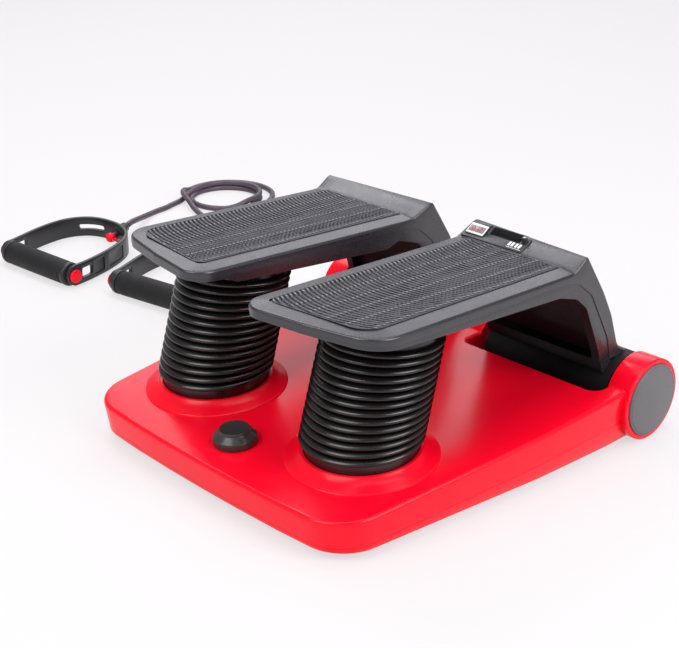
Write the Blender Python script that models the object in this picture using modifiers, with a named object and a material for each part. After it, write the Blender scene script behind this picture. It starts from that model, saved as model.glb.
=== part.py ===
"""Air walker: two foot pedals on air bellows over a red base, with two stretch tubes and hand grips."""

import math

import bmesh
import bpy
from mathutils import Matrix, Vector

# General sizes, in metres
GAP = 0.0003
ROUND_SIDES = 24
HOLE_DEPTH = 0.02

# Where the stepper's own middle lies in the layout that also holds its two hand grips
UNIT_X = 0.2315

# Hinge axis of both pedals, which runs along X
HUB_Y = 0.1724
HUB_Z = 0.0427
SHAFT_RADIUS = 0.008
SHAFT_BORE = SHAFT_RADIUS + GAP
SHAFT_END_X = 0.2070
SHAFT_CHAMFER = 0.001
CLIP_RADIUS = 0.0125
CLIP_THICKNESS = 0.0013

# Base
BASE_FRONT_Y = -0.2205
BASE_FRONT_HALF = 0.1790
BASE_MIDDLE_HALF = 0.2035
BASE_REAR_HALF = 0.2085
BASE_CORNER_RADIUS = 0.048
FRONT_BOW = 0.007
DECK_FRONT_Z = 0.0395
DECK_SLOPE = 0.064
SHELL_WALL = 0.0025
TRAY_BOTTOM_Z = 0.008
WALL_LEAN = 0.005
SEAM_FRONT_Z = 0.0125
SEAM_SLOPE = 0.0485
RIDGE_ROUND = 0.003
SEAM_LAP = 0.002
POST_LAP = 0.001
DECK_HOLE_RADIUS = 0.046
NOTCH_OUTER_ROUND = 0.012
NOTCH_INNER_ROUND = 0.006
NOTCH_FRONT_Y = 0.116
NOTCH_OUTER_X = 0.187
SPINE_HALF = 0.0195
ARM_END_Y = 0.165

# Hinge housings at the rear of the base
COLLAR_RADIUS = 0.0415
COLLAR_INNER_X = 0.1865
COLLAR_OUTER_X = 0.2125
CAP_RADIUS = 0.0365
CAP_POCKET_X = 0.2035
CAP_FACE_X = 0.215
CAP_STANDOFF = 0.0045
CAP_WALL = 0.003
CAP_ROUND = 0.0025
HOUSING_RADIUS = 0.0355
ANCHOR_FACE_Y = 0.209
ANCHOR_END_Y = 0.2205
ANCHOR_X = 0.010
ANCHOR_Z = 0.045
ANCHOR_RADIUS = 0.0085
ANCHOR_NECK = 0.0025
ANCHOR_GRIP = 0.0008
ANCHOR_PAD_HALF = 0.010

# Feet and screws under the base, as places on the right side
FOOT_SPOTS = ((0.150, -0.180, 0.011), (0.178, 0.095, 0.009))
SCREW_SPOTS = ((0.120, -0.195), (0.120, 0.095))
POST_RADIUS = 0.005
POST_PILOT = 0.0016
SCREW_SHANK = 0.0013
SCREW_HEAD = 0.0036
SCREW_HEAD_DEPTH = 0.0020
SCREW_TIP_Z = 0.032
SCREW_CLEARANCE = 0.006
FOOT_BEVEL = 0.0012

# Bellows
BELLOWS_X = 0.1023
BELLOWS_Y = -0.1134
SOCKET_FLOOR = 0.004
SEAT_FOOT_RADIUS = 0.0700
SEAT_LIP_RADIUS = 0.0550
SEAT_LIP_HEIGHT = 0.0100
SEAT_FLARE = ((0.0560, 0.0088), (0.0590, 0.0068), (0.0670, 0.0030), (0.0700, 0.0014))
SEAT_SOCKET_RADIUS = 0.0521
SEAT_CUP_RADIUS = 0.0445
SEAT_CUP_WALL = 0.0040
SEAT_CUP_DEPTH = 0.0045
SEAT_CUP_FLOOR = 0.0015
NIPPLE_RADIUS = 0.0055
NIPPLE_TIP_RADIUS = 0.0048
NIPPLE_BORE = 0.0025
BELLOWS_FOOT_RADIUS = 0.0517
BELLOWS_FOOT_HEIGHT = 0.0137
BELLOWS_NECK_HEIGHT = 0.005
BELLOWS_LOW_RADIUS = 0.0568
BELLOWS_HIGH_RADIUS = 0.0552
BELLOWS_GROOVE = 0.0062
BELLOWS_INNER_RADIUS = 0.0425
BELLOWS_RIBS = 14
BELLOWS_SIDES = 18
BELLOWS_TOP_Y = -0.0875
BELLOWS_TOP_Z = 0.1645
PLATE_RADIUS = 0.0535
PLATE_THICKNESS = 0.0112

# Knob on the front of the deck
KNOB_Y = -0.175
KNOB_RADIUS = 0.021
KNOB_TOP_RADIUS = 0.0145
KNOB_HEIGHT = 0.0145
KNOB_FOOT = 0.0006
KNOB_EDGE = 0.001
KNOB_SHOULDER = 0.0065
KNOB_SKIRT = 0.0080
SPINDLE_RADIUS = 0.003
SPINDLE_TOP = 0.0095
SPINDLE_DEPTH = 0.0120
NEEDLE_RADIUS = 0.0008
NEEDLE_LENGTH = 0.0050
VALVE_HALF_X = 0.020
VALVE_HALF_Y = 0.010
VALVE_PORT = 0.0012
VALVE_TOP_Z = 0.032
VALVE_BOTTOM_Z = 0.0125
VALVE_WELL = 0.034
HOSE_Z = 0.0190
HOSE_RADIUS = 0.0028
HOSE_SPACING = 0.008
HOSE_DROP = 0.006
HOSE_BEND = (0.010, 0.008, 0.012)
HOSE_ROUTE = ((0.065, -0.150), (0.045, -0.172), (0.032, -0.175), (0.0205, -0.175))
NIPPLE_LENGTH = 0.0110

# Pedals, as side outlines of (y, z, corner radius) in the stepper's own frame
PEDAL_HALF = 0.0723
PEDAL_HEEL_Y = -0.1840
PEDAL_HEEL_SLANT = 0.20
PEDAL_HEEL_BOW = 0.003
PEDAL_HEEL_OUTER_RADIUS = 0.034
PEDAL_HEEL_INNER_RADIUS = 0.022
HEEL_RIM = 0.013
PEDAL_PLAN_REACH = 0.06
PEDAL_INNER_WALL = 0.003
UNDERSIDE_SHORT = 0.0006
LIP_SKEW = 0.0095
LIP_FOOT_Y = 0.0890
LIP_FOOT_REACH = 0.016
LEG_FADE_Z = 0.100
LEG_FADE_REACH = 0.055
LIP_LOW_Z = 0.180
LEG_SPLIT_Y = 0.1085
LEG_SPLIT_Z = 0.1728
LEG_SPLIT_LEAN = 0.64
PEDAL_WALL = 0.0034
PEDAL_TOP_Z = 0.18985
PEDAL_TOP_Y = 0.0055
PEDAL_SLOPE = -0.033
UNDERSIDE_SLOPE = -0.0655
UNDERSIDE_Y = -0.1070
UNDERSIDE_Z = 0.1780
RIM_INNER = 0.055
RIM_DROP = 0.0022
RIM_EDGE = 0.0024
RIM_EDGE_WIDTH = 0.0022
RIM_END_Y = 0.078
RIM_DEPTH = 0.0045
RIM_REACH = 0.001
PEDAL_SPARE = 0.002
LEFT_PEDAL_RAISE = math.radians(1.0)
PEDAL_UPPER = (
    (-0.2060, 0.19683, 0.0),
    (0.0880, 0.1871, 0.0040),
    (0.0945, 0.1922, 0.0030),
    (0.1050, 0.1980, 0.0035),
    (0.1350, 0.1543, 0.0600),
    (0.1503, 0.1269, 0.0600),
    (0.1638, 0.0914, 0.0150),
    (0.1780, 0.0828, 0.0),
)
PEDAL_SEAM = (
    (0.1520, 0.0800, 0.0),
    (0.1452, 0.1050, 0.0300),
    (0.1155, 0.1562, 0.0200),
    (0.0947, 0.1728, 0.0150),
    (0.0720, 0.1790, 0.0150),
    (-0.1070, 0.1826, 0.0),
    (-0.2060, 0.1890, 0.0),
)
PEDAL_LOWER = (
    (-0.2060, 0.1858, 0.0),
    (-0.1070, 0.1780, 0.0500),
    (0.0670, 0.1666, 0.0300),
    (0.0926, 0.1586, 0.0150),
    (0.1090, 0.1449, 0.0200),
    (0.1330, 0.0929, 0.0300),
    (0.1405, 0.0700, 0.0),
    (0.1550, 0.0560, 0.0),
    (0.1640, 0.0700, 0.0),
)
LEG_POCKET = (
    (0.0300, 0.1560, 0.0),
    (0.1000, 0.1000, 0.0),
    (0.1300, 0.0790, 0.0),
    (0.1450, 0.0850, 0.0),
    (0.1412, 0.1030, 0.0300),
    (0.1122, 0.1530, 0.0200),
    (0.0930, 0.1690, 0.0150),
    (0.0715, 0.1748, 0.0150),
    (0.0300, 0.1752, 0.0),
)
POCKET_HALF = 0.0623
BARREL_RADIUS = 0.0385
BARREL_INNER = 0.0718
BARREL_OUTER = 0.0817
BARREL_WALL = 0.0045
BARREL_HOLLOW = 0.090
BUSH_RADIUS = 0.012
BUSH_LENGTH = 0.022
BUSH_FLANGE_RADIUS = 0.015
BUSH_FLANGE = 0.0014

# Tread pad, let into the top of each pedal
TREAD_HALF = 0.0549
TREAD_HEEL_Y = -0.1680
TREAD_HEEL_SLANT = 0.13
TREAD_TOE_Y = 0.0850
TREAD_OUTER_CORNER = 0.020
TREAD_INNER_CORNER = 0.012
TREAD_TOE_CORNER = 0.004
TREAD_DEPTH = 0.0013
TREAD_PROUD = 0.0009

# Step counter in the toe of the right pedal, from the pedal's middle
COUNTER_LEFT = -0.0680
COUNTER_RIGHT = 0.0070
COUNTER_FRONT_Y = 0.0872
COUNTER_REAR_Y = 0.1096
COUNTER_BOTTOM_Z = 0.1852
COUNTER_FRONT_Z = 0.1893
COUNTER_REAR_Z = 0.1972
DISPLAY_LEFT = -0.0655
DISPLAY_RIGHT = -0.0385
BUTTON_X = 0.0010
BUTTON_Y = 0.1000
BUTTON_RADIUS = 0.0030
BUTTON_PROUD = 0.0020
BUTTON_DEPTH = 0.0070
COUNTER_WALL = 0.0015
COUNTER_HOLLOW = 0.0032
COUNTER_FLAT = 0.014
COUNTER_CLEAR = 0.004
COUNTER_CUT = 0.02
BOARD_LIFT = 0.0016
BOARD_THICKNESS = 0.0012
CELL_LIFT = 0.0013
DISPLAY_PROUD = 0.0016
DISPLAY_DEPTH = 0.0037
DISPLAY_FRONT = 0.0046
DISPLAY_REAR = 0.0033
CELL_RADIUS = 0.0058
CELL_THICKNESS = 0.0020

# Hand grips, drawn with the grip along X and the yoke toward +Y
GRIP_RADIUS = 0.015
GRIP_LENGTH = 0.1260
GRIP_BORE = 0.0078
CORE_RADIUS = 0.0060
GRIP_ROUND = 0.003
CORE_BORE = 0.003
PLUG_HUB_RADIUS = 0.0027
PLUG_HUB_LENGTH = 0.0120
YOKE_THICKNESS = 0.0050
YOKE_SPACING = 0.014
YOKE_CLEARANCE = 0.0010
YOKE_HALF_HEIGHT = 0.0135
YOKE_PATH = (
    (-0.0675, -0.0100),
    (-0.0675, 0.0060),
    (-0.0720, 0.0250),
    (-0.0775, 0.0460),
    (-0.0815, 0.0660),
    (-0.0835, 0.0860),
    (-0.0825, 0.1040),
    (-0.0760, 0.1200),
    (-0.0640, 0.1330),
    (-0.0450, 0.1400),
    (-0.0166, 0.1405),
    (0.0080, 0.1330),
    (0.0280, 0.1180),
    (0.0420, 0.0980),
    (0.0530, 0.0720),
    (0.0600, 0.0480),
    (0.0650, 0.0250),
    (0.0675, 0.0060),
    (0.0675, -0.0100),
)
YOKE_WINDOWS = (
    (-0.0714, 0.0225, 13.3, 0.0100, 0.0065),
    (0.0653, 0.0215, 7.5, 0.0095, 0.0065),
    (-0.0610, 0.1345, -59.3, 0.0185, 0.0035),
)
WINDOW_CORNER = 0.0028
WINDOW_REACH = 0.012
APEX = Vector((-0.0166, 0.1405, 0.0))
APEX_DIRECTION = Vector((-0.4200, 0.9075, 0.0)).normalized()
SOCKET_RADIUS = 0.0085
SOCKET_LENGTH = 0.0240
BALL_RADIUS = 0.0065
STEM_RADIUS = 0.0035
STEM_INSIDE = 0.0215
STEM_OUTSIDE = 0.0300
PLUG_RADIUS = 0.0085
PLUG_THICKNESS = 0.0030
PLUG_EDGE = 0.001
HANDLE_SPOTS = (
    ((-0.5850, -0.0120), math.radians(4.5)),
    ((-0.4010, 0.0330), math.radians(10.0)),
)

# Stretch tubes, lying on the floor behind the stepper
TUBE_RADIUS = 0.004
TUBE_REST_Z = TUBE_RADIUS + GAP
LONG_SPACING = 0.024
SHORT_SPACING = 0.016
COIL_CENTRE = Vector((-0.6590, 0.3560))
COIL_RADIUS = 0.0575
COIL_HALF_WIDTH = 0.0120
COIL_HEIGHT = 0.016
COIL_BEVEL = 0.004
COIL_TOUCH = COIL_RADIUS + COIL_HALF_WIDTH + 0.0005
COIL_LEAD = 0.008
TUBE_LEAD = 0.016


def clear_scene():
    for item in list(bpy.data.objects):
        bpy.data.objects.remove(item, do_unlink=True)


def new_collection(name):
    group = bpy.data.collections.new(name)
    bpy.context.scene.collection.children.link(group)
    return group


def new_material(name, colour, roughness, metallic=0.0):
    material = bpy.data.materials.new(name)
    material.use_nodes = True
    shader = material.node_tree.nodes["Principled BSDF"]
    shader.inputs["Base Color"].default_value = (*colour, 1.0)
    shader.inputs["Roughness"].default_value = roughness
    shader.inputs["Metallic"].default_value = metallic
    return material


def new_frame(name, parent, place, turn=(0.0, 0.0, 0.0)):
    """Empty that carries the pieces of one moving group."""
    frame = bpy.data.objects.new(name, None)
    frame.empty_display_size = 0.03
    frame.location = place
    frame.rotation_euler = turn
    frame.parent = parent
    PARTS.objects.link(frame)
    return frame


def add_piece(name, mesh, parent, material, place=None):
    item = bpy.data.objects.new(name, mesh)
    item.parent = parent
    if place is not None:
        item.matrix_local = place
    mesh.materials.append(material.copy())
    mesh.materials[0].name = name
    mesh.shade_smooth()
    mesh.set_sharp_from_angle(angle=math.radians(35))
    PARTS.objects.link(item)
    return item


def add_cutter(name, mesh, parent, place=None):
    item = bpy.data.objects.new(name, mesh)
    item.parent = parent
    if place is not None:
        item.matrix_local = place
    item.hide_render = True
    item.display_type = "WIRE"
    CUTTERS.objects.link(item)
    return item


def combine(item, other, operation):
    step = item.modifiers.new(operation.lower(), "BOOLEAN")
    step.operation = operation
    step.solver = "EXACT"
    step.object = other


def mesh_from(shape, name):
    mesh = bpy.data.meshes.new(name)
    shape.to_mesh(mesh)
    shape.free()
    return mesh


def axis_matrix(axis):
    """Turn that takes the local Z axis to the named axis, and keeps the outline's own order."""
    if axis == "X":
        return Matrix(((0, 0, 1, 0), (1, 0, 0, 0), (0, 1, 0, 0), (0, 0, 0, 1)))
    if axis == "Y":
        return Matrix(((0, 1, 0, 0), (0, 0, 1, 0), (1, 0, 0, 0), (0, 0, 0, 1)))
    return Matrix.Identity(4)


def cylinder(name, radius, centre, length, axis="Z", sides=ROUND_SIDES):
    shape = bmesh.new()
    place = Matrix.Translation(centre) @ axis_matrix(axis)
    bmesh.ops.create_cone(shape, cap_ends=True, segments=sides, radius1=radius, radius2=radius,
                          depth=length, matrix=place)
    return mesh_from(shape, name)


def box(name, low, high):
    shape = bmesh.new()
    size = Vector(high) - Vector(low)
    middle = (Vector(high) + Vector(low)) / 2
    place = Matrix.Translation(middle) @ Matrix.Diagonal((*size, 1.0))
    bmesh.ops.create_cube(shape, size=1.0, matrix=place)
    return mesh_from(shape, name)


def rounded(corners, steps=3):
    """Closed outline with an arc of its own radius at each corner."""
    outline = []
    for index, (x, y, radius) in enumerate(corners):
        here = Vector((x, y))
        if radius == 0.0:
            outline.append(here)
            continue
        back = (Vector(corners[index - 1][:2]) - here).normalized()
        ahead = (Vector(corners[(index + 1) % len(corners)][:2]) - here).normalized()
        half = back.angle(ahead) / 2
        centre = here + (back + ahead).normalized() * radius / math.sin(half)
        start = here + back * radius / math.tan(half) - centre
        turn = (math.pi - 2 * half) * (-1 if back.cross(ahead) > 0 else 1)
        for step in range(steps + 1):
            outline.append(centre + Matrix.Rotation(turn * step / steps, 2) @ start)
    return outline


def inset(outline, distance):
    """Counterclockwise outline with each point moved inward, by one distance or by its own."""
    moved = []
    for index, here in enumerate(outline):
        before = (here - outline[index - 1]).normalized()
        after = (outline[(index + 1) % len(outline)] - here).normalized()
        inward = Vector((-before.y - after.y, before.x + after.x))
        amount = distance[index] if isinstance(distance, list) else distance
        scale = amount / max(0.3, 1 + before.dot(after))
        moved.append(here + inward * scale)
    return moved


def plate(name, outline, low, high, axis="Z"):
    """Flat outline, as a filled curve, given the thickness from low to high along the axis."""
    curve = bpy.data.curves.new(name, "CURVE")
    curve.dimensions = "2D"
    curve.fill_mode = "BOTH"
    curve.extrude = (high - low) / 2
    spline = curve.splines.new("POLY")
    spline.points.add(len(outline) - 1)
    for point, (x, y) in zip(spline.points, outline):
        point.co = (x, y, 0.0, 1.0)
    spline.use_cyclic_u = True
    place = axis_matrix(axis) @ Matrix.Translation((0.0, 0.0, (low + high) / 2))
    return mesh_of_curve(curve, name, place)


def mesh_of_curve(curve, name, place=None):
    """Closed mesh of a curve, with its caps joined to its sides."""
    source = bpy.data.objects.new(name, curve)
    bpy.context.scene.collection.objects.link(source)
    graph = bpy.context.evaluated_depsgraph_get()
    mesh = bpy.data.meshes.new_from_object(source.evaluated_get(graph), depsgraph=graph)
    bpy.data.objects.remove(source)
    bpy.data.curves.remove(curve)
    shape = bmesh.new()
    shape.from_mesh(mesh)
    bmesh.ops.remove_doubles(shape, verts=shape.verts, dist=0.00001)
    bmesh.ops.recalc_face_normals(shape, faces=shape.faces)
    if place is not None:
        shape.transform(place)
    shape.to_mesh(mesh)
    shape.free()
    mesh.name = name
    return mesh


def turned(name, profile, sides=ROUND_SIDES, closed=True):
    """Mesh turned about Z from (radius, height) points that run down the outer side."""
    lines = bpy.data.meshes.new(name)
    count = len(profile)
    edges = [(index, index + 1) for index in range(count - 1)]
    if closed:
        edges.append((count - 1, 0))
    lines.from_pydata([(radius, 0.0, height) for radius, height in profile], edges, [])
    source = bpy.data.objects.new(name, lines)
    bpy.context.scene.collection.objects.link(source)
    screw = source.modifiers.new("turn", "SCREW")
    screw.steps = sides
    screw.render_steps = sides
    screw.use_merge_vertices = True
    screw.merge_threshold = 0.00001
    graph = bpy.context.evaluated_depsgraph_get()
    mesh = bpy.data.meshes.new_from_object(source.evaluated_get(graph), depsgraph=graph)
    bpy.data.objects.remove(source)
    bpy.data.meshes.remove(lines)
    mesh.name = name
    return mesh


def deck_z(y):
    return DECK_FRONT_Z + DECK_SLOPE * (y - BASE_FRONT_Y)


def seam_z(y):
    return SEAM_FRONT_Z + SEAM_SLOPE * (y - BASE_FRONT_Y)


def deck_frame(x, y):
    """Place on the deck, with Z square to it."""
    return Matrix.Translation((x, y, deck_z(y))) @ Matrix.Rotation(math.atan(DECK_SLOPE), 4, "X")


def base_outline():
    """Base in plan, counterclockwise: bowed front, rear arms, and a notch for each pedal's barrel."""
    right = [
        (0.05, BASE_FRONT_Y + FRONT_BOW * 0.07, 0.0),
        (0.10, BASE_FRONT_Y + FRONT_BOW * 0.29, 0.0),
        (BASE_FRONT_HALF, BASE_FRONT_Y + FRONT_BOW, BASE_CORNER_RADIUS),
        (BASE_MIDDLE_HALF, 0.02, 0.0),
        (BASE_REAR_HALF, NOTCH_FRONT_Y, 0.0),
        (BASE_REAR_HALF, ARM_END_Y, 0.0),
        (NOTCH_OUTER_X, ARM_END_Y, 0.0),
        (NOTCH_OUTER_X, NOTCH_FRONT_Y, NOTCH_OUTER_ROUND),
        (SPINE_HALF, NOTCH_FRONT_Y, NOTCH_INNER_ROUND),
        (SPINE_HALF, ARM_END_Y, 0.0),
    ]
    left = [(-x, y, radius) for x, y, radius in reversed(right)]
    return rounded([(0.0, BASE_FRONT_Y, 0.0)] + right + left)


def loft(name, rings):
    """Open skin over rings of the same number of points, closed by a flat face on the last ring."""
    shape = bmesh.new()
    rows = [[shape.verts.new(point) for point in ring] for ring in rings]
    for lower, upper in zip(rows, rows[1:]):
        for index in range(len(lower)):
            shape.faces.new((lower[index - 1], lower[index], upper[index], upper[index - 1]))
    cover = shape.faces.new(rows[-1])
    bmesh.ops.recalc_face_normals(shape, faces=shape.faces)
    if cover.normal.dot(rows[-1][0].co - rows[0][0].co) < 0:
        bmesh.ops.reverse_faces(shape, faces=shape.faces)
    return mesh_from(shape, name)


def wall_lean(z, y):
    """How far the side wall stands in from the ridge at a height."""
    return WALL_LEAN * (deck_z(y) - z) / (deck_z(y) - TRAY_BOTTOM_Z)


def ring_at(outline, height, extra=0.0):
    """Outline at a height given as a function of y, leaned in with the wall."""
    leans = [wall_lean(height(point.y), point.y) + extra for point in outline]
    moved = inset(outline, leans)
    return [Vector((point.x, point.y, height(point.y))) for point in moved]


def hub_block(name, low, high, radius):
    """Round housing about the hinge axis."""
    return cylinder(name, radius, ((low + high) / 2, HUB_Y, HUB_Z), high - low, "X", 28)


def slanted_box(name, below):
    """Large block on one side of the seam between the top shell and the tray."""
    low, high = (-0.2, GAP / 2) if below else (-GAP / 2, 0.2)
    mesh = box(name, (-0.3, -0.4, low), (0.3, 0.4, high))
    place = Matrix.Translation((0.0, 0.0, seam_z(0.0))) @ Matrix.Rotation(math.atan(SEAM_SLOPE), 4, "X")
    mesh.transform(place)
    return mesh


def add_hubs(body, tag):
    """Joins the three hinge housings to a body, and bores and pockets them."""
    for side, sign in (("right", 1), ("left", -1)):
        low, high = sorted((sign * COLLAR_INNER_X, sign * COLLAR_OUTER_X))
        combine(body, add_cutter(f"{tag}_collar_{side}", hub_block("collar", low, high, COLLAR_RADIUS),
                                 UNIT), "UNION")
    combine(body, add_cutter(f"{tag}_housing", hub_block("housing", -SPINE_HALF, SPINE_HALF,
                                                         HOUSING_RADIUS), UNIT), "UNION")
    for side, sign in (("right", 1), ("left", -1)):
        low, high = sorted((sign * CAP_POCKET_X, sign * (COLLAR_OUTER_X + 0.01)))
        pocket = hub_block("cap_pocket", low, high, CAP_RADIUS + GAP)
        combine(body, add_cutter(f"{tag}_cap_pocket_{side}", pocket, UNIT), "DIFFERENCE")
    bore = hub_block("shaft_bore", -0.3, 0.3, SHAFT_BORE)
    combine(body, add_cutter(f"{tag}_shaft_bore", bore, UNIT), "DIFFERENCE")


def screw_places():
    return [(sign * x, y) for x, y in SCREW_SPOTS for sign in (1, -1)]


def add_posts(body, tag, top, bottom, bore):
    """Screw posts inside the base, each with a hole down its middle."""
    for index, (x, y) in enumerate(screw_places(), 1):
        high, low = top(y), bottom(y)
        post = cylinder("post", POST_RADIUS, (x, y, (high + low) / 2), high - low, sides=12)
        combine(body, add_cutter(f"{tag}_post_{index}", post, UNIT), "UNION")
    for index, (x, y) in enumerate(screw_places(), 1):
        high = top(y) - SHELL_WALL
        hole = cylinder("pilot", bore, (x, y, high / 2), high, sides=8)
        combine(body, add_cutter(f"{tag}_pilot_{index}", hole, UNIT), "DIFFERENCE")


def make_top_shell():
    outline = base_outline()
    rings = [
        ring_at(outline, lambda y: seam_z(y) - SEAM_LAP),
        ring_at(outline, lambda y: deck_z(y) - RIDGE_ROUND),
        ring_at(outline, lambda y: deck_z(y) - RIDGE_ROUND * 0.3, RIDGE_ROUND * 0.3),
        ring_at(outline, deck_z, RIDGE_ROUND),
    ]
    shell = add_piece("base_top_shell", loft("base_top_shell", rings), UNIT, RED)
    skin = shell.modifiers.new("wall", "SOLIDIFY")
    skin.thickness = SHELL_WALL
    skin.use_even_offset = True
    add_hubs(shell, "shell")
    pad = box("anchor_pad", (-SPINE_HALF, HUB_Y + SPINE_HALF, ANCHOR_Z - ANCHOR_PAD_HALF),
              (SPINE_HALF, ANCHOR_FACE_Y, ANCHOR_Z + ANCHOR_PAD_HALF))
    combine(shell, add_cutter("shell_anchor_pad", pad, UNIT), "UNION")
    add_posts(shell, "shell", lambda y: deck_z(y) - SHELL_WALL / 2,
              lambda y: seam_z(y) - POST_LAP, POST_PILOT)
    for side, sign in (("right", 1), ("left", -1)):
        hole = cylinder("deck_hole", DECK_HOLE_RADIUS, (0.0, 0.0, 0.0), HOLE_DEPTH)
        place = deck_frame(sign * BELLOWS_X, BELLOWS_Y)
        combine(shell, add_cutter(f"deck_hole_{side}", hole, UNIT, place), "DIFFERENCE")
    hole = cylinder("knob_hole", SPINDLE_RADIUS + 0.001, (0.0, 0.0, 0.0), HOLE_DEPTH, sides=16)
    combine(shell, add_cutter("knob_hole", hole, UNIT, deck_frame(0.0, KNOB_Y)), "DIFFERENCE")
    combine(shell, add_cutter("shell_seam", slanted_box("seam", True), UNIT), "DIFFERENCE")


def make_tray():
    outline = base_outline()
    rings = [
        ring_at(outline, lambda y: seam_z(y) + SEAM_LAP),
        ring_at(outline, lambda y: TRAY_BOTTOM_Z),
    ]
    tray = add_piece("base_tray", loft("base_tray", rings), UNIT, RED)
    skin = tray.modifiers.new("wall", "SOLIDIFY")
    skin.thickness = SHELL_WALL
    skin.use_even_offset = True
    add_hubs(tray, "tray")
    for index, (x, y) in enumerate(screw_places(), 1):
        low = TRAY_BOTTOM_Z + SHELL_WALL / 2
        high = seam_z(y) + POST_LAP
        post = cylinder("post", POST_RADIUS, (x, y, (high + low) / 2), high - low, sides=12)
        combine(tray, add_cutter(f"tray_post_{index}", post, UNIT), "UNION")
    for index, (x, y) in enumerate(screw_places(), 1):
        hole = cylinder("screw_hole", POST_PILOT, (x, y, SCREW_TIP_Z), 2 * SCREW_TIP_Z, sides=8)
        combine(tray, add_cutter(f"tray_hole_{index}", hole, UNIT), "DIFFERENCE")
    combine(tray, add_cutter("tray_seam", slanted_box("seam", False), UNIT), "DIFFERENCE")


def make_feet_and_screws():
    spots = [(sign * x, y, radius) for x, y, radius in FOOT_SPOTS for sign in (1, -1)]
    for index, (x, y, radius) in enumerate(spots, 1):
        height = TRAY_BOTTOM_Z - GAP
        profile = [(0.0, height), (radius, height), (radius, FOOT_BEVEL), (radius - FOOT_BEVEL, 0.0),
                   (0.0, 0.0)]
        foot = turned("foot", profile, 16, closed=False)
        add_piece(f"rubber_foot_{index}", foot, UNIT, RUBBER, Matrix.Translation((x, y, 0.0)))
    for index, (x, y) in enumerate(screw_places(), 1):
        head = TRAY_BOTTOM_Z - GAP
        tip = min(deck_z(y) - SCREW_CLEARANCE, SCREW_TIP_Z)
        profile = [(0.0, tip), (SCREW_SHANK * 0.6, tip), (SCREW_SHANK, tip - SCREW_SHANK * 1.5),
                   (SCREW_SHANK, head), (SCREW_HEAD, head),
                   (SCREW_HEAD * 0.8, head - SCREW_HEAD_DEPTH * 0.9), (0.0, head - SCREW_HEAD_DEPTH)]
        screw = turned("screw", profile, 12, closed=False)
        add_piece(f"base_screw_{index}", screw, UNIT, STEEL, Matrix.Translation((x, y, 0.0)))


def make_hinge():
    shaft = turned("hinge_shaft", [
        (0.0, SHAFT_END_X), (SHAFT_RADIUS - SHAFT_CHAMFER, SHAFT_END_X),
        (SHAFT_RADIUS, SHAFT_END_X - SHAFT_CHAMFER), (SHAFT_RADIUS, SHAFT_CHAMFER - SHAFT_END_X),
        (SHAFT_RADIUS - SHAFT_CHAMFER, -SHAFT_END_X), (0.0, -SHAFT_END_X)], 24, closed=False)
    shaft.transform(Matrix.Translation((0.0, HUB_Y, HUB_Z)) @ axis_matrix("X"))
    add_piece("hinge_shaft", shaft, UNIT, STEEL)
    for side, sign in (("right", 1), ("left", -1)):
        clip = turned("clip", [(CLIP_RADIUS, CLIP_THICKNESS), (CLIP_RADIUS, 0.0), (SHAFT_BORE, 0.0),
                               (SHAFT_BORE, CLIP_THICKNESS)], 20)
        spin = Matrix.Rotation(0.0 if sign > 0 else math.pi, 4, "Z")
        place = Matrix.Translation((sign * (CAP_POCKET_X + GAP), HUB_Y, HUB_Z)) @ spin @ axis_matrix("X")
        add_piece(f"shaft_clip_{side}", clip, UNIT, STEEL, place)
        depth = CAP_FACE_X - CAP_POCKET_X - CAP_STANDOFF
        cap = turned("cap", [
            (0.0, depth), (CAP_RADIUS - CAP_ROUND, depth),
            (CAP_RADIUS - CAP_ROUND * 0.3, depth - CAP_ROUND * 0.3),
            (CAP_RADIUS, depth - CAP_ROUND), (CAP_RADIUS, 0.0), (CAP_RADIUS - CAP_WALL, 0.0),
            (CAP_RADIUS - CAP_WALL, depth - CAP_WALL), (0.0, depth - CAP_WALL)], 28, closed=False)
        place = Matrix.Translation((sign * (CAP_FACE_X - depth), HUB_Y, HUB_Z)) @ spin @ axis_matrix("X")
        add_piece(f"end_cap_{side}", cap, UNIT, GREY, place)


def make_anchors():
    for index, sign in enumerate((-1, 1), 1):
        length = ANCHOR_END_Y - ANCHOR_FACE_Y - GAP
        bore = TUBE_RADIUS - ANCHOR_GRIP
        ferrule = turned("anchor", [
            (ANCHOR_RADIUS - ANCHOR_NECK, length), (ANCHOR_RADIUS - ANCHOR_NECK * 0.6, length * 0.9),
            (ANCHOR_RADIUS, length * 0.45), (ANCHOR_RADIUS, 0.0), (bore, 0.0), (bore, length)], 16)
        turn = Matrix.Rotation(math.radians(-90), 4, "X")
        place = Matrix.Translation((sign * ANCHOR_X, ANCHOR_FACE_Y + GAP, ANCHOR_Z)) @ turn
        add_piece(f"tube_anchor_{index}", ferrule, UNIT, BLACK, place)


def make_bellows_seats():
    """Flared seats on the deck, each with a cup below that ends in a hose nipple."""
    inner = SEAT_CUP_RADIUS - SEAT_CUP_WALL
    profile = [
        (SEAT_LIP_RADIUS, SEAT_LIP_HEIGHT), *SEAT_FLARE, (SEAT_FOOT_RADIUS, GAP),
        (SEAT_CUP_RADIUS, GAP), (SEAT_CUP_RADIUS, -SEAT_CUP_DEPTH), (NIPPLE_RADIUS, -SEAT_CUP_DEPTH),
        (NIPPLE_TIP_RADIUS, -NIPPLE_LENGTH), (NIPPLE_BORE, -NIPPLE_LENGTH),
        (NIPPLE_BORE, -SEAT_CUP_FLOOR), (inner, -SEAT_CUP_FLOOR), (inner, SOCKET_FLOOR),
        (SEAT_SOCKET_RADIUS, SOCKET_FLOOR), (SEAT_SOCKET_RADIUS, SEAT_LIP_HEIGHT),
    ]
    for side, sign in (("right", 1), ("left", -1)):
        mesh = turned("seat", profile)
        add_piece(f"bellows_seat_{side}", mesh, UNIT, RED, deck_frame(sign * BELLOWS_X, BELLOWS_Y))


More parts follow.
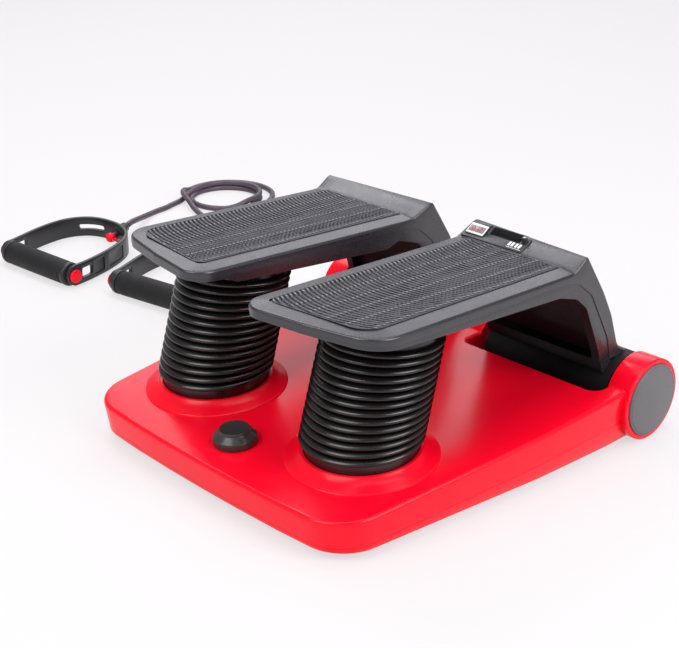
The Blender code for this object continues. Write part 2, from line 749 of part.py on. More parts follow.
def bellows_profile():
    """Outer ribs from the top down, then the plain inside, as (radius, share of height)."""
    deck = deck_frame(0.0, BELLOWS_Y)
    foot = deck @ Vector((0.0, 0.0, SOCKET_FLOOR + GAP))
    length = (Vector((0.0, BELLOWS_TOP_Y, BELLOWS_TOP_Z)) - foot).length
    low = BELLOWS_FOOT_HEIGHT
    pitch = (length - low - BELLOWS_NECK_HEIGHT) / BELLOWS_RIBS
    outer = [(BELLOWS_FOOT_RADIUS, 0.0), (BELLOWS_FOOT_RADIUS, low - 0.001)]
    for rib in range(BELLOWS_RIBS):
        share = rib / (BELLOWS_RIBS - 1)
        crest = BELLOWS_LOW_RADIUS + (BELLOWS_HIGH_RADIUS - BELLOWS_LOW_RADIUS) * share
        start = low + rib * pitch
        outer.append((crest - BELLOWS_GROOVE, start))
        outer.append((crest, start + pitch * 0.35))
        outer.append((crest, start + pitch * 0.65))
    outer.append((BELLOWS_HIGH_RADIUS - BELLOWS_GROOVE, length - BELLOWS_NECK_HEIGHT))
    outer.append((BELLOWS_HIGH_RADIUS - BELLOWS_GROOVE, length))
    inner = [(BELLOWS_INNER_RADIUS, 0.0), (BELLOWS_INNER_RADIUS, low),
             (BELLOWS_INNER_RADIUS, length - BELLOWS_NECK_HEIGHT), (BELLOWS_INNER_RADIUS, length)]
    return outer[::-1] + inner, foot, length


def make_bellows():
    """Ribbed bellows that lean from the sloping deck to the plate under the pedal."""
    profile, foot, length = bellows_profile()
    deck_tilt = math.atan(DECK_SLOPE)
    plate_tilt = math.atan(UNDERSIDE_SLOPE)
    low_end = foot + Matrix.Rotation(deck_tilt, 3, "X") @ Vector((0.0, 0.0, BELLOWS_FOOT_HEIGHT))
    top = Vector((0.0, BELLOWS_TOP_Y, BELLOWS_TOP_Z - GAP))
    high_end = top - Matrix.Rotation(plate_tilt, 3, "X") @ Vector((0.0, 0.0, BELLOWS_NECK_HEIGHT))
    for side, sign in (("right", 1), ("left", -1)):
        mesh = turned("bellows", profile, BELLOWS_SIDES)
        lift = Vector((0.0, 0.0, 0.0))
        if sign < 0:
            lift = raised(top) - top
        for vertex in mesh.vertices:
            height = vertex.co.z
            share = (height - BELLOWS_FOOT_HEIGHT) / (length - BELLOWS_NECK_HEIGHT - BELLOWS_FOOT_HEIGHT)
            share = min(1.0, max(0.0, share))
            tilt = deck_tilt + (plate_tilt - deck_tilt - (LEFT_PEDAL_RAISE if sign < 0 else 0.0)) * share
            middle = low_end.lerp(high_end + lift, share)
            along = min(0.0, height - BELLOWS_FOOT_HEIGHT) + max(0.0, height - length + BELLOWS_NECK_HEIGHT)
            spot = Vector((vertex.co.x, vertex.co.y, along))
            vertex.co = middle + Matrix.Rotation(tilt, 3, "X") @ spot
        add_piece(f"bellows_{side}", mesh, UNIT, BELLOWS, Matrix.Translation((sign * BELLOWS_X, 0, 0)))


def raised(point):
    """Point carried round the hinge axis with the left pedal."""
    axis = Vector((0.0, HUB_Y, HUB_Z))
    return axis + Matrix.Rotation(-LEFT_PEDAL_RAISE, 3, "X") @ (point - axis)


def make_air_system():
    """Valve block under the knob, and a hose to it from each bellows seat."""
    block = box("valve_block", (-VALVE_HALF_X, KNOB_Y - VALVE_HALF_Y, VALVE_BOTTOM_Z),
                (VALVE_HALF_X, KNOB_Y + VALVE_HALF_Y, VALVE_TOP_Z))
    block = add_piece("valve_block", block, UNIT, BRASS)
    well = cylinder("valve_well", SPINDLE_RADIUS + GAP, (0.0, 0.0, 0.0), VALVE_WELL, sides=20)
    combine(block, add_cutter("valve_well", well, UNIT, deck_frame(0.0, KNOB_Y)), "DIFFERENCE")
    port = cylinder("valve_port", VALVE_PORT, (0.0, KNOB_Y, HOSE_Z), 0.1, "X", 12)
    combine(block, add_cutter("valve_port", port, UNIT), "DIFFERENCE")
    for side, sign in (("right", 1), ("left", -1)):
        seat = deck_frame(sign * BELLOWS_X, BELLOWS_Y)
        nipple = seat @ Vector((0.0, 0.0, -NIPPLE_LENGTH - GAP * 1.5))
        inward, forward, down = HOSE_BEND
        route = [nipple, seat @ Vector((0.0, 0.0, -NIPPLE_LENGTH - HOSE_DROP)),
                 nipple - Vector((sign * inward, forward, down))]
        route += [Vector((sign * x, y, HOSE_Z)) for x, y in HOSE_ROUTE]
        mesh = tube_mesh("hose", route, HOSE_RADIUS, HOSE_SPACING, 1)
        add_piece(f"air_hose_{side}", mesh, UNIT, RUBBER)


def make_knob():
    stem = turned("valve_spindle", [
        (0.0, SPINDLE_TOP), (SPINDLE_RADIUS, SPINDLE_TOP), (SPINDLE_RADIUS, -SPINDLE_DEPTH),
        (NEEDLE_RADIUS, -SPINDLE_DEPTH - NEEDLE_LENGTH), (0.0, -SPINDLE_DEPTH - NEEDLE_LENGTH)],
        20, closed=False)
    add_piece("valve_spindle", stem, KNOB_FRAME, BRASS)
    bore = SPINDLE_RADIUS + GAP
    cap = turned("knob", [
        (0.0, KNOB_HEIGHT), (KNOB_TOP_RADIUS - KNOB_EDGE, KNOB_HEIGHT),
        (KNOB_TOP_RADIUS, KNOB_HEIGHT - KNOB_EDGE * 0.8),
        (KNOB_TOP_RADIUS + GAP, KNOB_HEIGHT - KNOB_EDGE * 3),
        (KNOB_RADIUS - KNOB_EDGE * 1.5, KNOB_HEIGHT - KNOB_SHOULDER),
        (KNOB_RADIUS, KNOB_HEIGHT - KNOB_SKIRT), (KNOB_RADIUS, KNOB_FOOT + KNOB_EDGE),
        (KNOB_RADIUS - KNOB_EDGE, KNOB_FOOT), (bore, KNOB_FOOT),
        (bore, SPINDLE_TOP + GAP), (0.0, SPINDLE_TOP + GAP)], closed=False)
    add_piece("valve_knob", cap, KNOB_FRAME, BLACK)


def pedal_outline(corners):
    """Side outline of a pedal piece, measured from the hinge axis."""
    return rounded([(y - HUB_Y, z - HUB_Z, radius) for y, z, radius in corners])


def mirrored(corners, sign):
    """Counterclockwise corners as given for the right side, or turned over for the left side."""
    if sign > 0:
        return corners
    return [(-x, y, radius) for x, y, radius in reversed(corners)]


def pedal_plan(sign, inward=0.0):
    """Pedal in plan, from the hinge axis: straight sides, and a heel that reaches out on the inner side."""
    half = PEDAL_HALF - inward
    heel = PEDAL_HEEL_Y - HUB_Y + inward
    reach = PEDAL_HEEL_SLANT * half
    corners = [
        (0.0, heel, 0.0),
        (half, heel + reach + PEDAL_HEEL_BOW, PEDAL_HEEL_OUTER_RADIUS - inward),
        (half, PEDAL_PLAN_REACH, 0.0),
        (-half, PEDAL_PLAN_REACH, 0.0),
        (-half, heel - reach + PEDAL_HEEL_BOW, PEDAL_HEEL_INNER_RADIUS - inward),
    ]
    return rounded(mirrored(corners, sign), 6)


def slope_rims(mesh):
    """Slopes the long rims beside the tread field down to rounded edges."""
    shape = bmesh.new()
    shape.from_mesh(mesh)
    edge_drop = RIM_EDGE * (RIM_EDGE_WIDTH + PEDAL_SPARE) / RIM_EDGE_WIDTH
    cuts = [((sign * edge, 0, 0), (1, 0, 0)) for sign in (1, -1)
            for edge in (RIM_INNER, PEDAL_HALF - RIM_EDGE_WIDTH)]
    cuts.append(((0, RIM_END_Y - HUB_Y, 0), (0, 1, 0)))
    for place, square in cuts:
        geometry = list(shape.verts) + list(shape.edges) + list(shape.faces)
        bmesh.ops.bisect_plane(shape, geom=geometry, plane_co=place, plane_no=square)
    for vertex in shape.verts:
        y, z = vertex.co.y + HUB_Y, vertex.co.z + HUB_Z
        top = PEDAL_TOP_Z + PEDAL_SLOPE * (y - PEDAL_TOP_Y)
        if y < RIM_END_Y + RIM_REACH and z > top - RIM_DEPTH:
            if abs(vertex.co.x) > PEDAL_HALF + RIM_REACH:
                vertex.co.z -= RIM_DROP + edge_drop
            elif abs(vertex.co.x) > RIM_INNER + RIM_REACH:
                vertex.co.z -= RIM_DROP
    bmesh.ops.triangulate(shape, faces=shape.faces)
    shape.to_mesh(mesh)
    shape.free()


def pedal_plane(y, slope, height, reference, offset):
    """Place on a plane of the pedal, measured from the hinge axis, with Z square to it."""
    z = height + slope * (y - reference) - HUB_Z
    lean = Matrix.Rotation(math.atan(slope), 4, "X")
    return Matrix.Translation((0.0, y - HUB_Y, z)) @ lean @ Matrix.Translation((0.0, 0.0, offset))


def tread_outline(sign, outward=0.0):
    """Tread field in plan, from its own middle, with its heel end slanted like the pedal's."""
    half = TREAD_HALF + outward
    reach = (TREAD_TOE_Y - TREAD_HEEL_Y) / 2 + outward
    slant = TREAD_HEEL_SLANT * half
    corners = [
        (half, slant - reach, TREAD_OUTER_CORNER),
        (half, reach, TREAD_TOE_CORNER),
        (-half, reach, TREAD_TOE_CORNER),
        (-half, -slant - reach, TREAD_INNER_CORNER),
    ]
    return rounded(mirrored(corners, sign))


def push_lip(mesh, sign):
    """Moves the raised lip and the upper back of the leg rearward toward the pedal's inner side."""
    for vertex in mesh.vertices:
        y, z = vertex.co.y + HUB_Y, vertex.co.z + HUB_Z
        behind_seam = z > LIP_LOW_Z or y > LEG_SPLIT_Y - LEG_SPLIT_LEAN * (z - LEG_SPLIT_Z)
        if not behind_seam or y < LIP_FOOT_Y:
            continue
        inner = min(1.0, max(0.0, (PEDAL_HALF - sign * vertex.co.x) / (2 * PEDAL_HALF)))
        rise = min(1.0, (y - LIP_FOOT_Y) / LIP_FOOT_REACH)
        fade = min(1.0, max(0.0, (z - LEG_FADE_Z) / LEG_FADE_REACH))
        vertex.co.y += LIP_SKEW * inner * rise * fade


def add_heel_rims(top, side, sign):
    """Planes the heel end of the top shell down to a sloping rim and a bevelled edge."""
    turn = Matrix.Rotation(sign * math.atan(PEDAL_HEEL_SLANT), 4, "Z")
    for name, width, drop in (("rim", HEEL_RIM, RIM_DROP), ("edge", RIM_EDGE_WIDTH, RIM_EDGE)):
        slope = drop / width
        y = PEDAL_HEEL_Y + width
        z = PEDAL_TOP_Z + PEDAL_SLOPE * (y - PEDAL_TOP_Y) - HUB_Z
        if name == "edge":
            z -= RIM_DROP * (HEEL_RIM - width) / HEEL_RIM
        tilt = Matrix.Rotation(math.atan(slope + PEDAL_SLOPE), 4, "X")
        cover = box("heel_cover", (-0.12, -0.1, 0.0), (0.12, 0.0, 0.05))
        place = Matrix.Translation((0.0, y - HUB_Y, z)) @ turn @ tilt
        combine(top, add_cutter(f"{side}_heel_{name}", cover, top.parent, place), "DIFFERENCE")


def make_pedal(side, frame, sign):
    make_pedal_top(side, frame, sign)
    make_pedal_underside(side, frame, sign)
    middle = (TREAD_HEEL_Y + TREAD_TOE_Y) / 2
    place = pedal_plane(middle, PEDAL_SLOPE, PEDAL_TOP_Z, PEDAL_TOP_Y, 0.0)
    pad = plate("tread", tread_outline(sign), -TREAD_DEPTH + GAP, TREAD_PROUD)
    add_piece(f"{side}_tread_pad", pad, frame, TREAD, place)
    spot = pedal_plane(BELLOWS_TOP_Y, UNDERSIDE_SLOPE, UNDERSIDE_Z, UNDERSIDE_Y, -GAP * 1.5)
    disc = cylinder("plate", PLATE_RADIUS, (0.0, 0.0, -PLATE_THICKNESS / 2), PLATE_THICKNESS)
    add_piece(f"{side}_bellows_plate", disc, frame, BLACK, spot)
    make_bushes(side, frame, sign)


def make_pedal_top(side, frame, sign):
    outline = inset(pedal_outline(PEDAL_UPPER + PEDAL_SEAM)[::-1], GAP / 2)[::-1]
    wide = PEDAL_HALF + PEDAL_SPARE
    mesh = plate("pedal_top", outline, -wide, wide, "X")
    slope_rims(mesh)
    push_lip(mesh, sign)
    top = add_piece(f"{side}_pedal_top", mesh, frame, PEDAL)
    add_heel_rims(top, side, sign)
    plan = plate("pedal_plan", pedal_plan(sign), -0.1, 0.3)
    combine(top, add_cutter(f"{side}_top_plan", plan, frame), "INTERSECT")
    upper = [Vector((y - HUB_Y, z - HUB_Z)) for y, z, _ in PEDAL_UPPER]
    seam = [Vector((y - HUB_Y, z - HUB_Z)) for y, z, _ in PEDAL_SEAM]
    depths = [PEDAL_WALL] * len(upper) + [-PEDAL_WALL] * len(seam)
    hollow = inset((upper + seam)[::-1], depths[::-1])
    cutter = add_cutter(f"{side}_top_hollow", plate("top_hollow", hollow, -0.08, 0.08, "X"), frame)
    inner = plate("inner_plan", pedal_plan(sign, PEDAL_INNER_WALL), -0.1, 0.3)
    combine(cutter, add_cutter(f"{side}_top_inner_plan", inner, frame), "INTERSECT")
    combine(top, cutter, "DIFFERENCE")
    middle = (TREAD_HEEL_Y + TREAD_TOE_Y) / 2
    place = pedal_plane(middle, PEDAL_SLOPE, PEDAL_TOP_Z, PEDAL_TOP_Y, 0.0)
    recess = plate("tread_recess", tread_outline(sign, GAP), -TREAD_DEPTH, 0.01)
    combine(top, add_cutter(f"{side}_tread_recess", recess, frame, place), "DIFFERENCE")
    if side == "right":
        low = (COUNTER_LEFT - GAP, COUNTER_FRONT_Y - GAP - HUB_Y, COUNTER_BOTTOM_Z - COUNTER_CUT - HUB_Z)
        high = (COUNTER_RIGHT + GAP, COUNTER_REAR_Y + GAP - HUB_Y, COUNTER_REAR_Z + COUNTER_CUT - HUB_Z)
        combine(top, add_cutter("counter_bay", box("counter_bay", low, high), frame), "DIFFERENCE")


def make_pedal_underside(side, frame, sign):
    corners = PEDAL_LOWER + PEDAL_SEAM
    outline = inset(pedal_outline(corners), GAP / 2)
    wide = PEDAL_HALF + PEDAL_SPARE
    body = add_piece(f"{side}_pedal_underside", plate("underside", outline, -wide, wide, "X"), frame, PEDAL)
    plan = plate("underside_plan", pedal_plan(sign, UNDERSIDE_SHORT), -0.2, 0.3)
    combine(body, add_cutter(f"{side}_underside_plan", plan, frame), "INTERSECT")
    pocket = plate("leg_pocket", pedal_outline(LEG_POCKET), -POCKET_HALF, POCKET_HALF, "X")
    combine(body, add_cutter(f"{side}_leg_pocket", pocket, frame), "DIFFERENCE")
    low, high = sorted((-sign * BARREL_INNER, sign * BARREL_OUTER))
    barrel = cylinder("barrel", BARREL_RADIUS, ((low + high) / 2, 0, 0), high - low, "X", 40)
    combine(body, add_cutter(f"{side}_barrel", barrel, frame), "UNION")
    hollow = cylinder("barrel_hollow", BARREL_RADIUS - BARREL_WALL, (0, 0, 0), BARREL_HOLLOW, "X", 24)
    combine(body, add_cutter(f"{side}_barrel_hollow", hollow, frame), "DIFFERENCE")
    bore = cylinder("bore", BUSH_RADIUS + GAP, (0, 0, 0), 0.3, "X", 24)
    combine(body, add_cutter(f"{side}_barrel_bore", bore, frame), "DIFFERENCE")
    if side == "right":
        low = (COUNTER_LEFT - GAP, COUNTER_FRONT_Y - GAP - HUB_Y, COUNTER_BOTTOM_Z - COUNTER_CLEAR - HUB_Z)
        high = (COUNTER_RIGHT + GAP, COUNTER_REAR_Y + GAP - HUB_Y, COUNTER_REAR_Z + COUNTER_CUT - HUB_Z)
        combine(body, add_cutter("counter_clear", box("counter_clear", low, high), frame), "DIFFERENCE")


def make_bushes(side, frame, sign):
    profile = [
        (BUSH_FLANGE_RADIUS, BUSH_FLANGE), (BUSH_FLANGE_RADIUS, 0.0), (BUSH_RADIUS, 0.0),
        (BUSH_RADIUS, -BUSH_LENGTH), (SHAFT_BORE, -BUSH_LENGTH), (SHAFT_BORE, BUSH_FLANGE),
    ]
    for end, face in (("outer", sign * (BARREL_OUTER + GAP)), ("inner", -sign * (BARREL_INNER + GAP))):
        spin = Matrix.Rotation(0.0 if face > 0 else math.pi, 4, "Z")
        place = Matrix.Translation((face, 0.0, 0.0)) @ spin @ axis_matrix("X")
        add_piece(f"{side}_bush_{end}", turned("bush", profile, 18), frame, WHITE, place)


def counter_box(low, high):
    """Block from (x, y, z) limits, with y and z given in the stepper's own frame."""
    shift = Vector((0.0, HUB_Y, HUB_Z))
    return box("counter", Vector(low) - shift, Vector(high) - shift)


def make_counter(frame):
    """Step counter: a case let into the toe, its display, circuit board, cell and reset button."""
    corners = [
        (COUNTER_FRONT_Y, COUNTER_BOTTOM_Z, 0.0), (COUNTER_REAR_Y, COUNTER_BOTTOM_Z, 0.0),
        (COUNTER_REAR_Y, COUNTER_REAR_Z, 0.001), (COUNTER_FRONT_Y + COUNTER_FLAT, COUNTER_REAR_Z, 0.001),
        (COUNTER_FRONT_Y, COUNTER_FRONT_Z, 0.0005),
    ]
    case = plate("counter", pedal_outline(corners), COUNTER_LEFT, COUNTER_RIGHT, "X")
    case = add_piece("counter_case", case, frame, BLACK)
    left, right = COUNTER_LEFT + COUNTER_WALL, COUNTER_RIGHT - COUNTER_WALL
    front, rear = COUNTER_FRONT_Y + COUNTER_WALL, COUNTER_REAR_Y - COUNTER_WALL
    inside = counter_box((left, front, COUNTER_BOTTOM_Z - 0.01),
                         (right, rear, COUNTER_BOTTOM_Z + COUNTER_HOLLOW))
    combine(case, add_cutter("counter_inside", inside, frame), "DIFFERENCE")
    near, far = COUNTER_FRONT_Y + DISPLAY_FRONT, COUNTER_REAR_Y - DISPLAY_REAR
    window = counter_box((DISPLAY_LEFT - GAP, near - GAP, COUNTER_REAR_Z - DISPLAY_DEPTH - GAP),
                         (DISPLAY_RIGHT + GAP, far + GAP, COUNTER_REAR_Z + 0.01))
    combine(case, add_cutter("counter_window", window, frame), "DIFFERENCE")
    well = cylinder("well", BUTTON_RADIUS + GAP, (BUTTON_X, BUTTON_Y - HUB_Y, COUNTER_REAR_Z - HUB_Z),
                    HOLE_DEPTH, sides=20)
    combine(case, add_cutter("button_well", well, frame), "DIFFERENCE")
    display = counter_box((DISPLAY_LEFT, near, COUNTER_REAR_Z - DISPLAY_DEPTH),
                          (DISPLAY_RIGHT, far, COUNTER_REAR_Z + DISPLAY_PROUD))
    add_piece("counter_display", display, frame, WHITE)
    low = COUNTER_BOTTOM_Z + BOARD_LIFT
    board = counter_box((left + GAP, front + GAP, low), (right - GAP, rear - GAP, low + BOARD_THICKNESS))
    add_piece("counter_board", board, frame, GREEN)
    middle = (COUNTER_LEFT + COUNTER_RIGHT) / 2
    cell = turned("cell", [
        (0.0, 0.0), (CELL_RADIUS, 0.0), (CELL_RADIUS, -CELL_THICKNESS * 0.8),
        (CELL_RADIUS * 0.85, -CELL_THICKNESS), (0.0, -CELL_THICKNESS)], 24, closed=False)
    place = (middle, (front + rear) / 2 - HUB_Y, COUNTER_BOTTOM_Z + CELL_LIFT - HUB_Z)
    add_piece("counter_cell", cell, frame, STEEL, Matrix.Translation(place))
    button = turned("button", [
        (0.0, BUTTON_PROUD), (BUTTON_RADIUS * 0.8, BUTTON_PROUD), (BUTTON_RADIUS, BUTTON_PROUD * 0.7),
        (BUTTON_RADIUS, -BUTTON_DEPTH), (0.0, -BUTTON_DEPTH)], 20, closed=False)
    place = (BUTTON_X, BUTTON_Y - HUB_Y, COUNTER_REAR_Z - HUB_Z)
    add_piece("counter_button", button, frame, WHITE, Matrix.Translation(place))


def smooth_path(points, spacing):
    """Points evenly spaced on a smooth curve through the route."""
    fine = []
    last = len(points) - 1
    for index in range(last):
        before = points[index - 1] if index else 2 * points[0] - points[1]
        start, end = points[index], points[index + 1]
        after = points[index + 2] if index < last - 1 else 2 * points[last] - points[last - 1]
        for step in range(24):
            t = step / 24
            fine.append(0.5 * (2 * start + (end - before) * t
                               + (2 * before - 5 * start + 4 * end - after) * t * t
                               + (3 * start - before - 3 * end + after) * t * t * t))
    fine.append(points[last])
    total = sum((b - a).length for a, b in zip(fine, fine[1:]))
    count = max(2, round(total / spacing))
    even = [fine[0]]
    travelled = 0.0
    for a, b in zip(fine, fine[1:]):
        piece = (b - a).length
        while len(even) < count and travelled + piece >= total * len(even) / count:
            even.append(a.lerp(b, (total * len(even) / count - travelled) / piece))
        travelled += piece
    even.append(fine[-1])
    return even


def tube_mesh(name, route, radius, spacing, resolution):
    """Round tube with filled ends along a smooth route, never lower than the floor."""
    points = smooth_path([Vector(point) for point in route], spacing)
    for point in points:
        point.z = max(point.z, radius + GAP)
    curve = bpy.data.curves.new(name, "CURVE")
    curve.dimensions = "3D"
    curve.bevel_depth = radius
    curve.bevel_resolution = resolution
    curve.use_fill_caps = True
    spline = curve.splines.new("POLY")
    spline.points.add(len(points) - 1)
    for point, place in zip(spline.points, points):
        point.co = (*place, 1.0)
    return mesh_of_curve(curve, name)


def yoke_outline():
    """Band of even thickness along the yoke's path, as one closed outline."""
    centre = smooth_path([Vector(point) for point in YOKE_PATH], YOKE_SPACING)
    normals = []
    for number in range(len(centre)):
        ahead = centre[min(number + 1, len(centre) - 1)] - centre[max(number - 1, 0)]
        normals.append(Vector((ahead.y, -ahead.x)).normalized())
    right_edge = [point + normal * YOKE_THICKNESS / 2 for point, normal in zip(centre, normals)]
    left_edge = [point - normal * YOKE_THICKNESS / 2 for point, normal in zip(centre, normals)]
    return right_edge + left_edge[::-1]


def apex_place():
    """Place at the yoke's apex, with Z along the way in which the tube leaves."""
    turn = APEX_DIRECTION.to_track_quat("Z", "Y").to_matrix().to_4x4()
    return Matrix.Translation(APEX) @ turn


def make_yoke(index, frame):
    """Yoke with an eye for the grip's core, a socket for the tube, and a window in each flat."""
    name = f"handle_{index}"
    yoke = plate("yoke", yoke_outline(), -YOKE_HALF_HEIGHT, YOKE_HALF_HEIGHT)
    yoke = add_piece(f"{name}_yoke", yoke, frame, BLACK)
    eye = cylinder("eye", CORE_RADIUS + GAP, (0.0, 0.0, 0.0), 0.2, "X", 16)
    combine(yoke, add_cutter(f"{name}_eye", eye, frame), "DIFFERENCE")
    middle = (0.0, 0.0, SOCKET_LENGTH / 2)
    socket = cylinder("socket", SOCKET_RADIUS, middle, SOCKET_LENGTH, sides=20)
    combine(yoke, add_cutter(f"{name}_socket", socket, frame, apex_place()), "UNION")
    hole = cylinder("apex_hole", STEM_RADIUS + GAP, middle, SOCKET_LENGTH * 2.5, sides=12)
    combine(yoke, add_cutter(f"{name}_apex_hole", hole, frame, apex_place()), "DIFFERENCE")
    for number, (x, y, lean, reach, high) in enumerate(YOKE_WINDOWS, 1):
        window = rounded([(high, -reach, WINDOW_CORNER), (high, reach, WINDOW_CORNER),
                          (-high, reach, WINDOW_CORNER), (-high, -reach, WINDOW_CORNER)])
        mesh = plate("window", window, -WINDOW_REACH, WINDOW_REACH)
        place = (Matrix.Translation((x, y, 0.0)) @ Matrix.Rotation(math.radians(lean), 4, "Z")
                 @ Matrix.Rotation(math.radians(90), 4, "Y"))
        combine(yoke, add_cutter(f"{name}_window_{number}", mesh, frame, place), "DIFFERENCE")


def make_grip(index, frame):
    """Foam sleeve on a plastic core, with a plug in each end of the core."""
    name = f"handle_{index}"
    end, soft = GRIP_LENGTH / 2, GRIP_ROUND * 0.27
    grip = turned("grip", [
        (GRIP_RADIUS - GRIP_ROUND, end), (GRIP_RADIUS - soft, end - soft), (GRIP_RADIUS, end - GRIP_ROUND),
        (GRIP_RADIUS, GRIP_ROUND - end), (GRIP_RADIUS - soft, soft - end), (GRIP_RADIUS - GRIP_ROUND, -end),
        (GRIP_BORE, -end), (GRIP_BORE, end)], 20)
    add_piece(f"{name}_grip", grip, frame, FOAM, axis_matrix("X"))
    reach = YOKE_PATH[-1][0] + YOKE_THICKNESS / 2 + YOKE_CLEARANCE
    core = turned("core", [(CORE_RADIUS, reach), (CORE_RADIUS, -reach), (CORE_BORE, -reach),
                           (CORE_BORE, reach)], 16)
    add_piece(f"{name}_core", core, frame, WHITE, axis_matrix("X"))
    for side, sign in (("right", 1), ("left", -1)):
        plug = turned("plug", [
            (0.0, PLUG_THICKNESS), (PLUG_RADIUS - PLUG_EDGE, PLUG_THICKNESS),
            (PLUG_RADIUS, PLUG_THICKNESS - PLUG_EDGE), (PLUG_RADIUS, 0.0), (PLUG_HUB_RADIUS, 0.0),
            (PLUG_HUB_RADIUS, -PLUG_HUB_LENGTH), (0.0, -PLUG_HUB_LENGTH)], 16, closed=False)
        spin = Matrix.Rotation(0.0 if sign > 0 else math.pi, 4, "Z")
        place = Matrix.Translation((sign * (reach + GAP), 0.0, 0.0)) @ spin @ axis_matrix("X")
        add_piece(f"{name}_plug_{side}", plug, frame, RED, place)


def make_handle(index, spot, angle):
    """Hand grip in its yoke, with a stop ball on the tube inside the yoke's apex."""
    frame = new_frame(f"handle_{index}_frame", UNIT, (*spot, GRIP_RADIUS + GAP), (0.0, 0.0, angle))
    make_yoke(index, frame)
    make_grip(index, frame)
    stop = turned("stop", ball_profile(), 12, closed=False)
    add_piece(f"handle_{index}_stop_ball", stop, frame, RED, apex_place())


def ball_profile():
    """Ball stop on a short stem that passes out through the apex of the yoke."""
    centre = -STEM_INSIDE
    profile = [(0.0, STEM_OUTSIDE), (STEM_RADIUS, STEM_OUTSIDE)]
    start = math.asin(STEM_RADIUS / BALL_RADIUS)
    for step in range(8):
        angle = start + (math.pi - start) * step / 8
        profile.append((BALL_RADIUS * math.sin(angle), centre + BALL_RADIUS * math.cos(angle)))
    profile.append((0.0, centre - BALL_RADIUS))
    return profile


def stem_end(spot, angle):
    """Place just outside a handle's stem, and the direction in which its tube leaves."""
    turn = Matrix.Rotation(angle, 3, "Z")
    base = Vector((*spot, GRIP_RADIUS + GAP))
    return base + turn @ (APEX + APEX_DIRECTION * (STEM_OUTSIDE + GAP * 2)), turn @ APEX_DIRECTION


def beside_coil(degrees, distance=0.0):
    """Place on the floor beside the coil, at an angle from +X."""
    angle = math.radians(degrees)
    reach = COIL_TOUCH + distance
    flat = COIL_CENTRE + Vector((math.cos(angle), math.sin(angle))) * reach
    return Vector((flat.x, flat.y, TUBE_REST_Z))


def floor_points(*places):
    return [Vector((x, y, TUBE_REST_Z)) for x, y in places]


def make_tubes():
    """Two stretch tubes: from each handle to the coil, and from the coil to the rear of the base."""
    start, leave = stem_end(*HANDLE_SPOTS[0])
    first = [start, start + leave * TUBE_LEAD]
    first += [Vector((-0.6560, 0.1990, 0.0090))]
    first += floor_points((-0.6730, 0.2280), (-0.6790, 0.2580))
    first += [beside_coil(-107.0, COIL_LEAD), beside_coil(-107.0)]
    start, leave = stem_end(*HANDLE_SPOTS[1])
    second = [start, start + leave * TUBE_LEAD]
    second += [Vector((-0.4860, 0.2240, 0.0100))]
    second += floor_points((-0.5080, 0.2390), (-0.5500, 0.2560), (-0.6000, 0.2690))
    second += [beside_coil(-70.0, COIL_LEAD), beside_coil(-70.0, 0.001)]
    third = [beside_coil(-10.0), beside_coil(-10.0, 0.020)]
    third += floor_points((-0.4700, 0.3220), (-0.3600, 0.3140), (-0.2500, 0.3060), (-0.1500, 0.3040),
                          (-0.0800, 0.3060))
    third += [Vector((-0.0380, 0.2980, 0.0100)), Vector((-0.0150, 0.2740, 0.0330)),
              Vector((-ANCHOR_X, 0.2460, 0.0448)), Vector((-ANCHOR_X, ANCHOR_END_Y + GAP * 2, ANCHOR_Z))]
    fourth = [beside_coil(12.0), beside_coil(12.0, 0.020)]
    fourth += floor_points((-0.4800, 0.3640), (-0.3600, 0.3480), (-0.2500, 0.3340), (-0.1400, 0.3240),
                           (-0.0550, 0.3240))
    fourth += [Vector((-0.0100, 0.3120, 0.0100)), Vector((0.0070, 0.2820, 0.0310)),
               Vector((ANCHOR_X, 0.2460, 0.0448)), Vector((ANCHOR_X, ANCHOR_END_Y + GAP * 2, ANCHOR_Z))]
    runs = (("tube_1_handle_run", first, SHORT_SPACING), ("tube_2_handle_run", second, SHORT_SPACING),
            ("tube_1_base_run", third, LONG_SPACING), ("tube_2_base_run", fourth, LONG_SPACING))
    for name, route, spacing in runs:
        add_piece(name, tube_mesh(name, route, TUBE_RADIUS, spacing, 2), UNIT, TUBE)


def make_coil():
    """Outer shape of the loops in which both tubes lie."""
    low, high = COIL_RADIUS - COIL_HALF_WIDTH, COIL_RADIUS + COIL_HALF_WIDTH
    bevel = COIL_BEVEL
    ring = turned("coil", [
        (high - bevel, COIL_HEIGHT), (high, COIL_HEIGHT - bevel), (high, GAP), (low, GAP),
        (low, COIL_HEIGHT - bevel), (low + bevel, COIL_HEIGHT)], 28)
    add_piece("tube_coil", ring, UNIT, TUBE, Matrix.Translation((*COIL_CENTRE, 0.0)))


clear_scene()
PARTS = new_collection("air_walker")
CUTTERS = new_collection("cutters")
RED = new_material("red_plastic", (0.70, 0.006, 0.018), 0.32)
PEDAL = new_material("pedal_plastic", (0.040, 0.040, 0.046), 0.50)
TREAD = new_material("tread_rubber", (0.030, 0.030, 0.034), 0.75)
BLACK = new_material("black_plastic", (0.012, 0.012, 0.013), 0.35)
BELLOWS = new_material("bellows_rubber", (0.010, 0.010, 0.011), 0.25)
GREY = new_material("grey_plastic", (0.15, 0.15, 0.16), 0.45)
RUBBER = new_material("black_rubber", (0.02, 0.02, 0.02), 0.85)
STEEL = new_material("steel", (0.55, 0.55, 0.57), 0.30, 1.0)
BRASS = new_material("brass", (0.62, 0.45, 0.18), 0.35, 1.0)
WHITE = new_material("white_plastic", (0.75, 0.75, 0.73), 0.40)
GREEN = new_material("circuit_board", (0.02, 0.16, 0.05), 0.50)
FOAM = new_material("grip_foam", (0.028, 0.030, 0.036), 0.85)
TUBE = new_material("latex_tube", (0.085, 0.060, 0.085), 0.45)

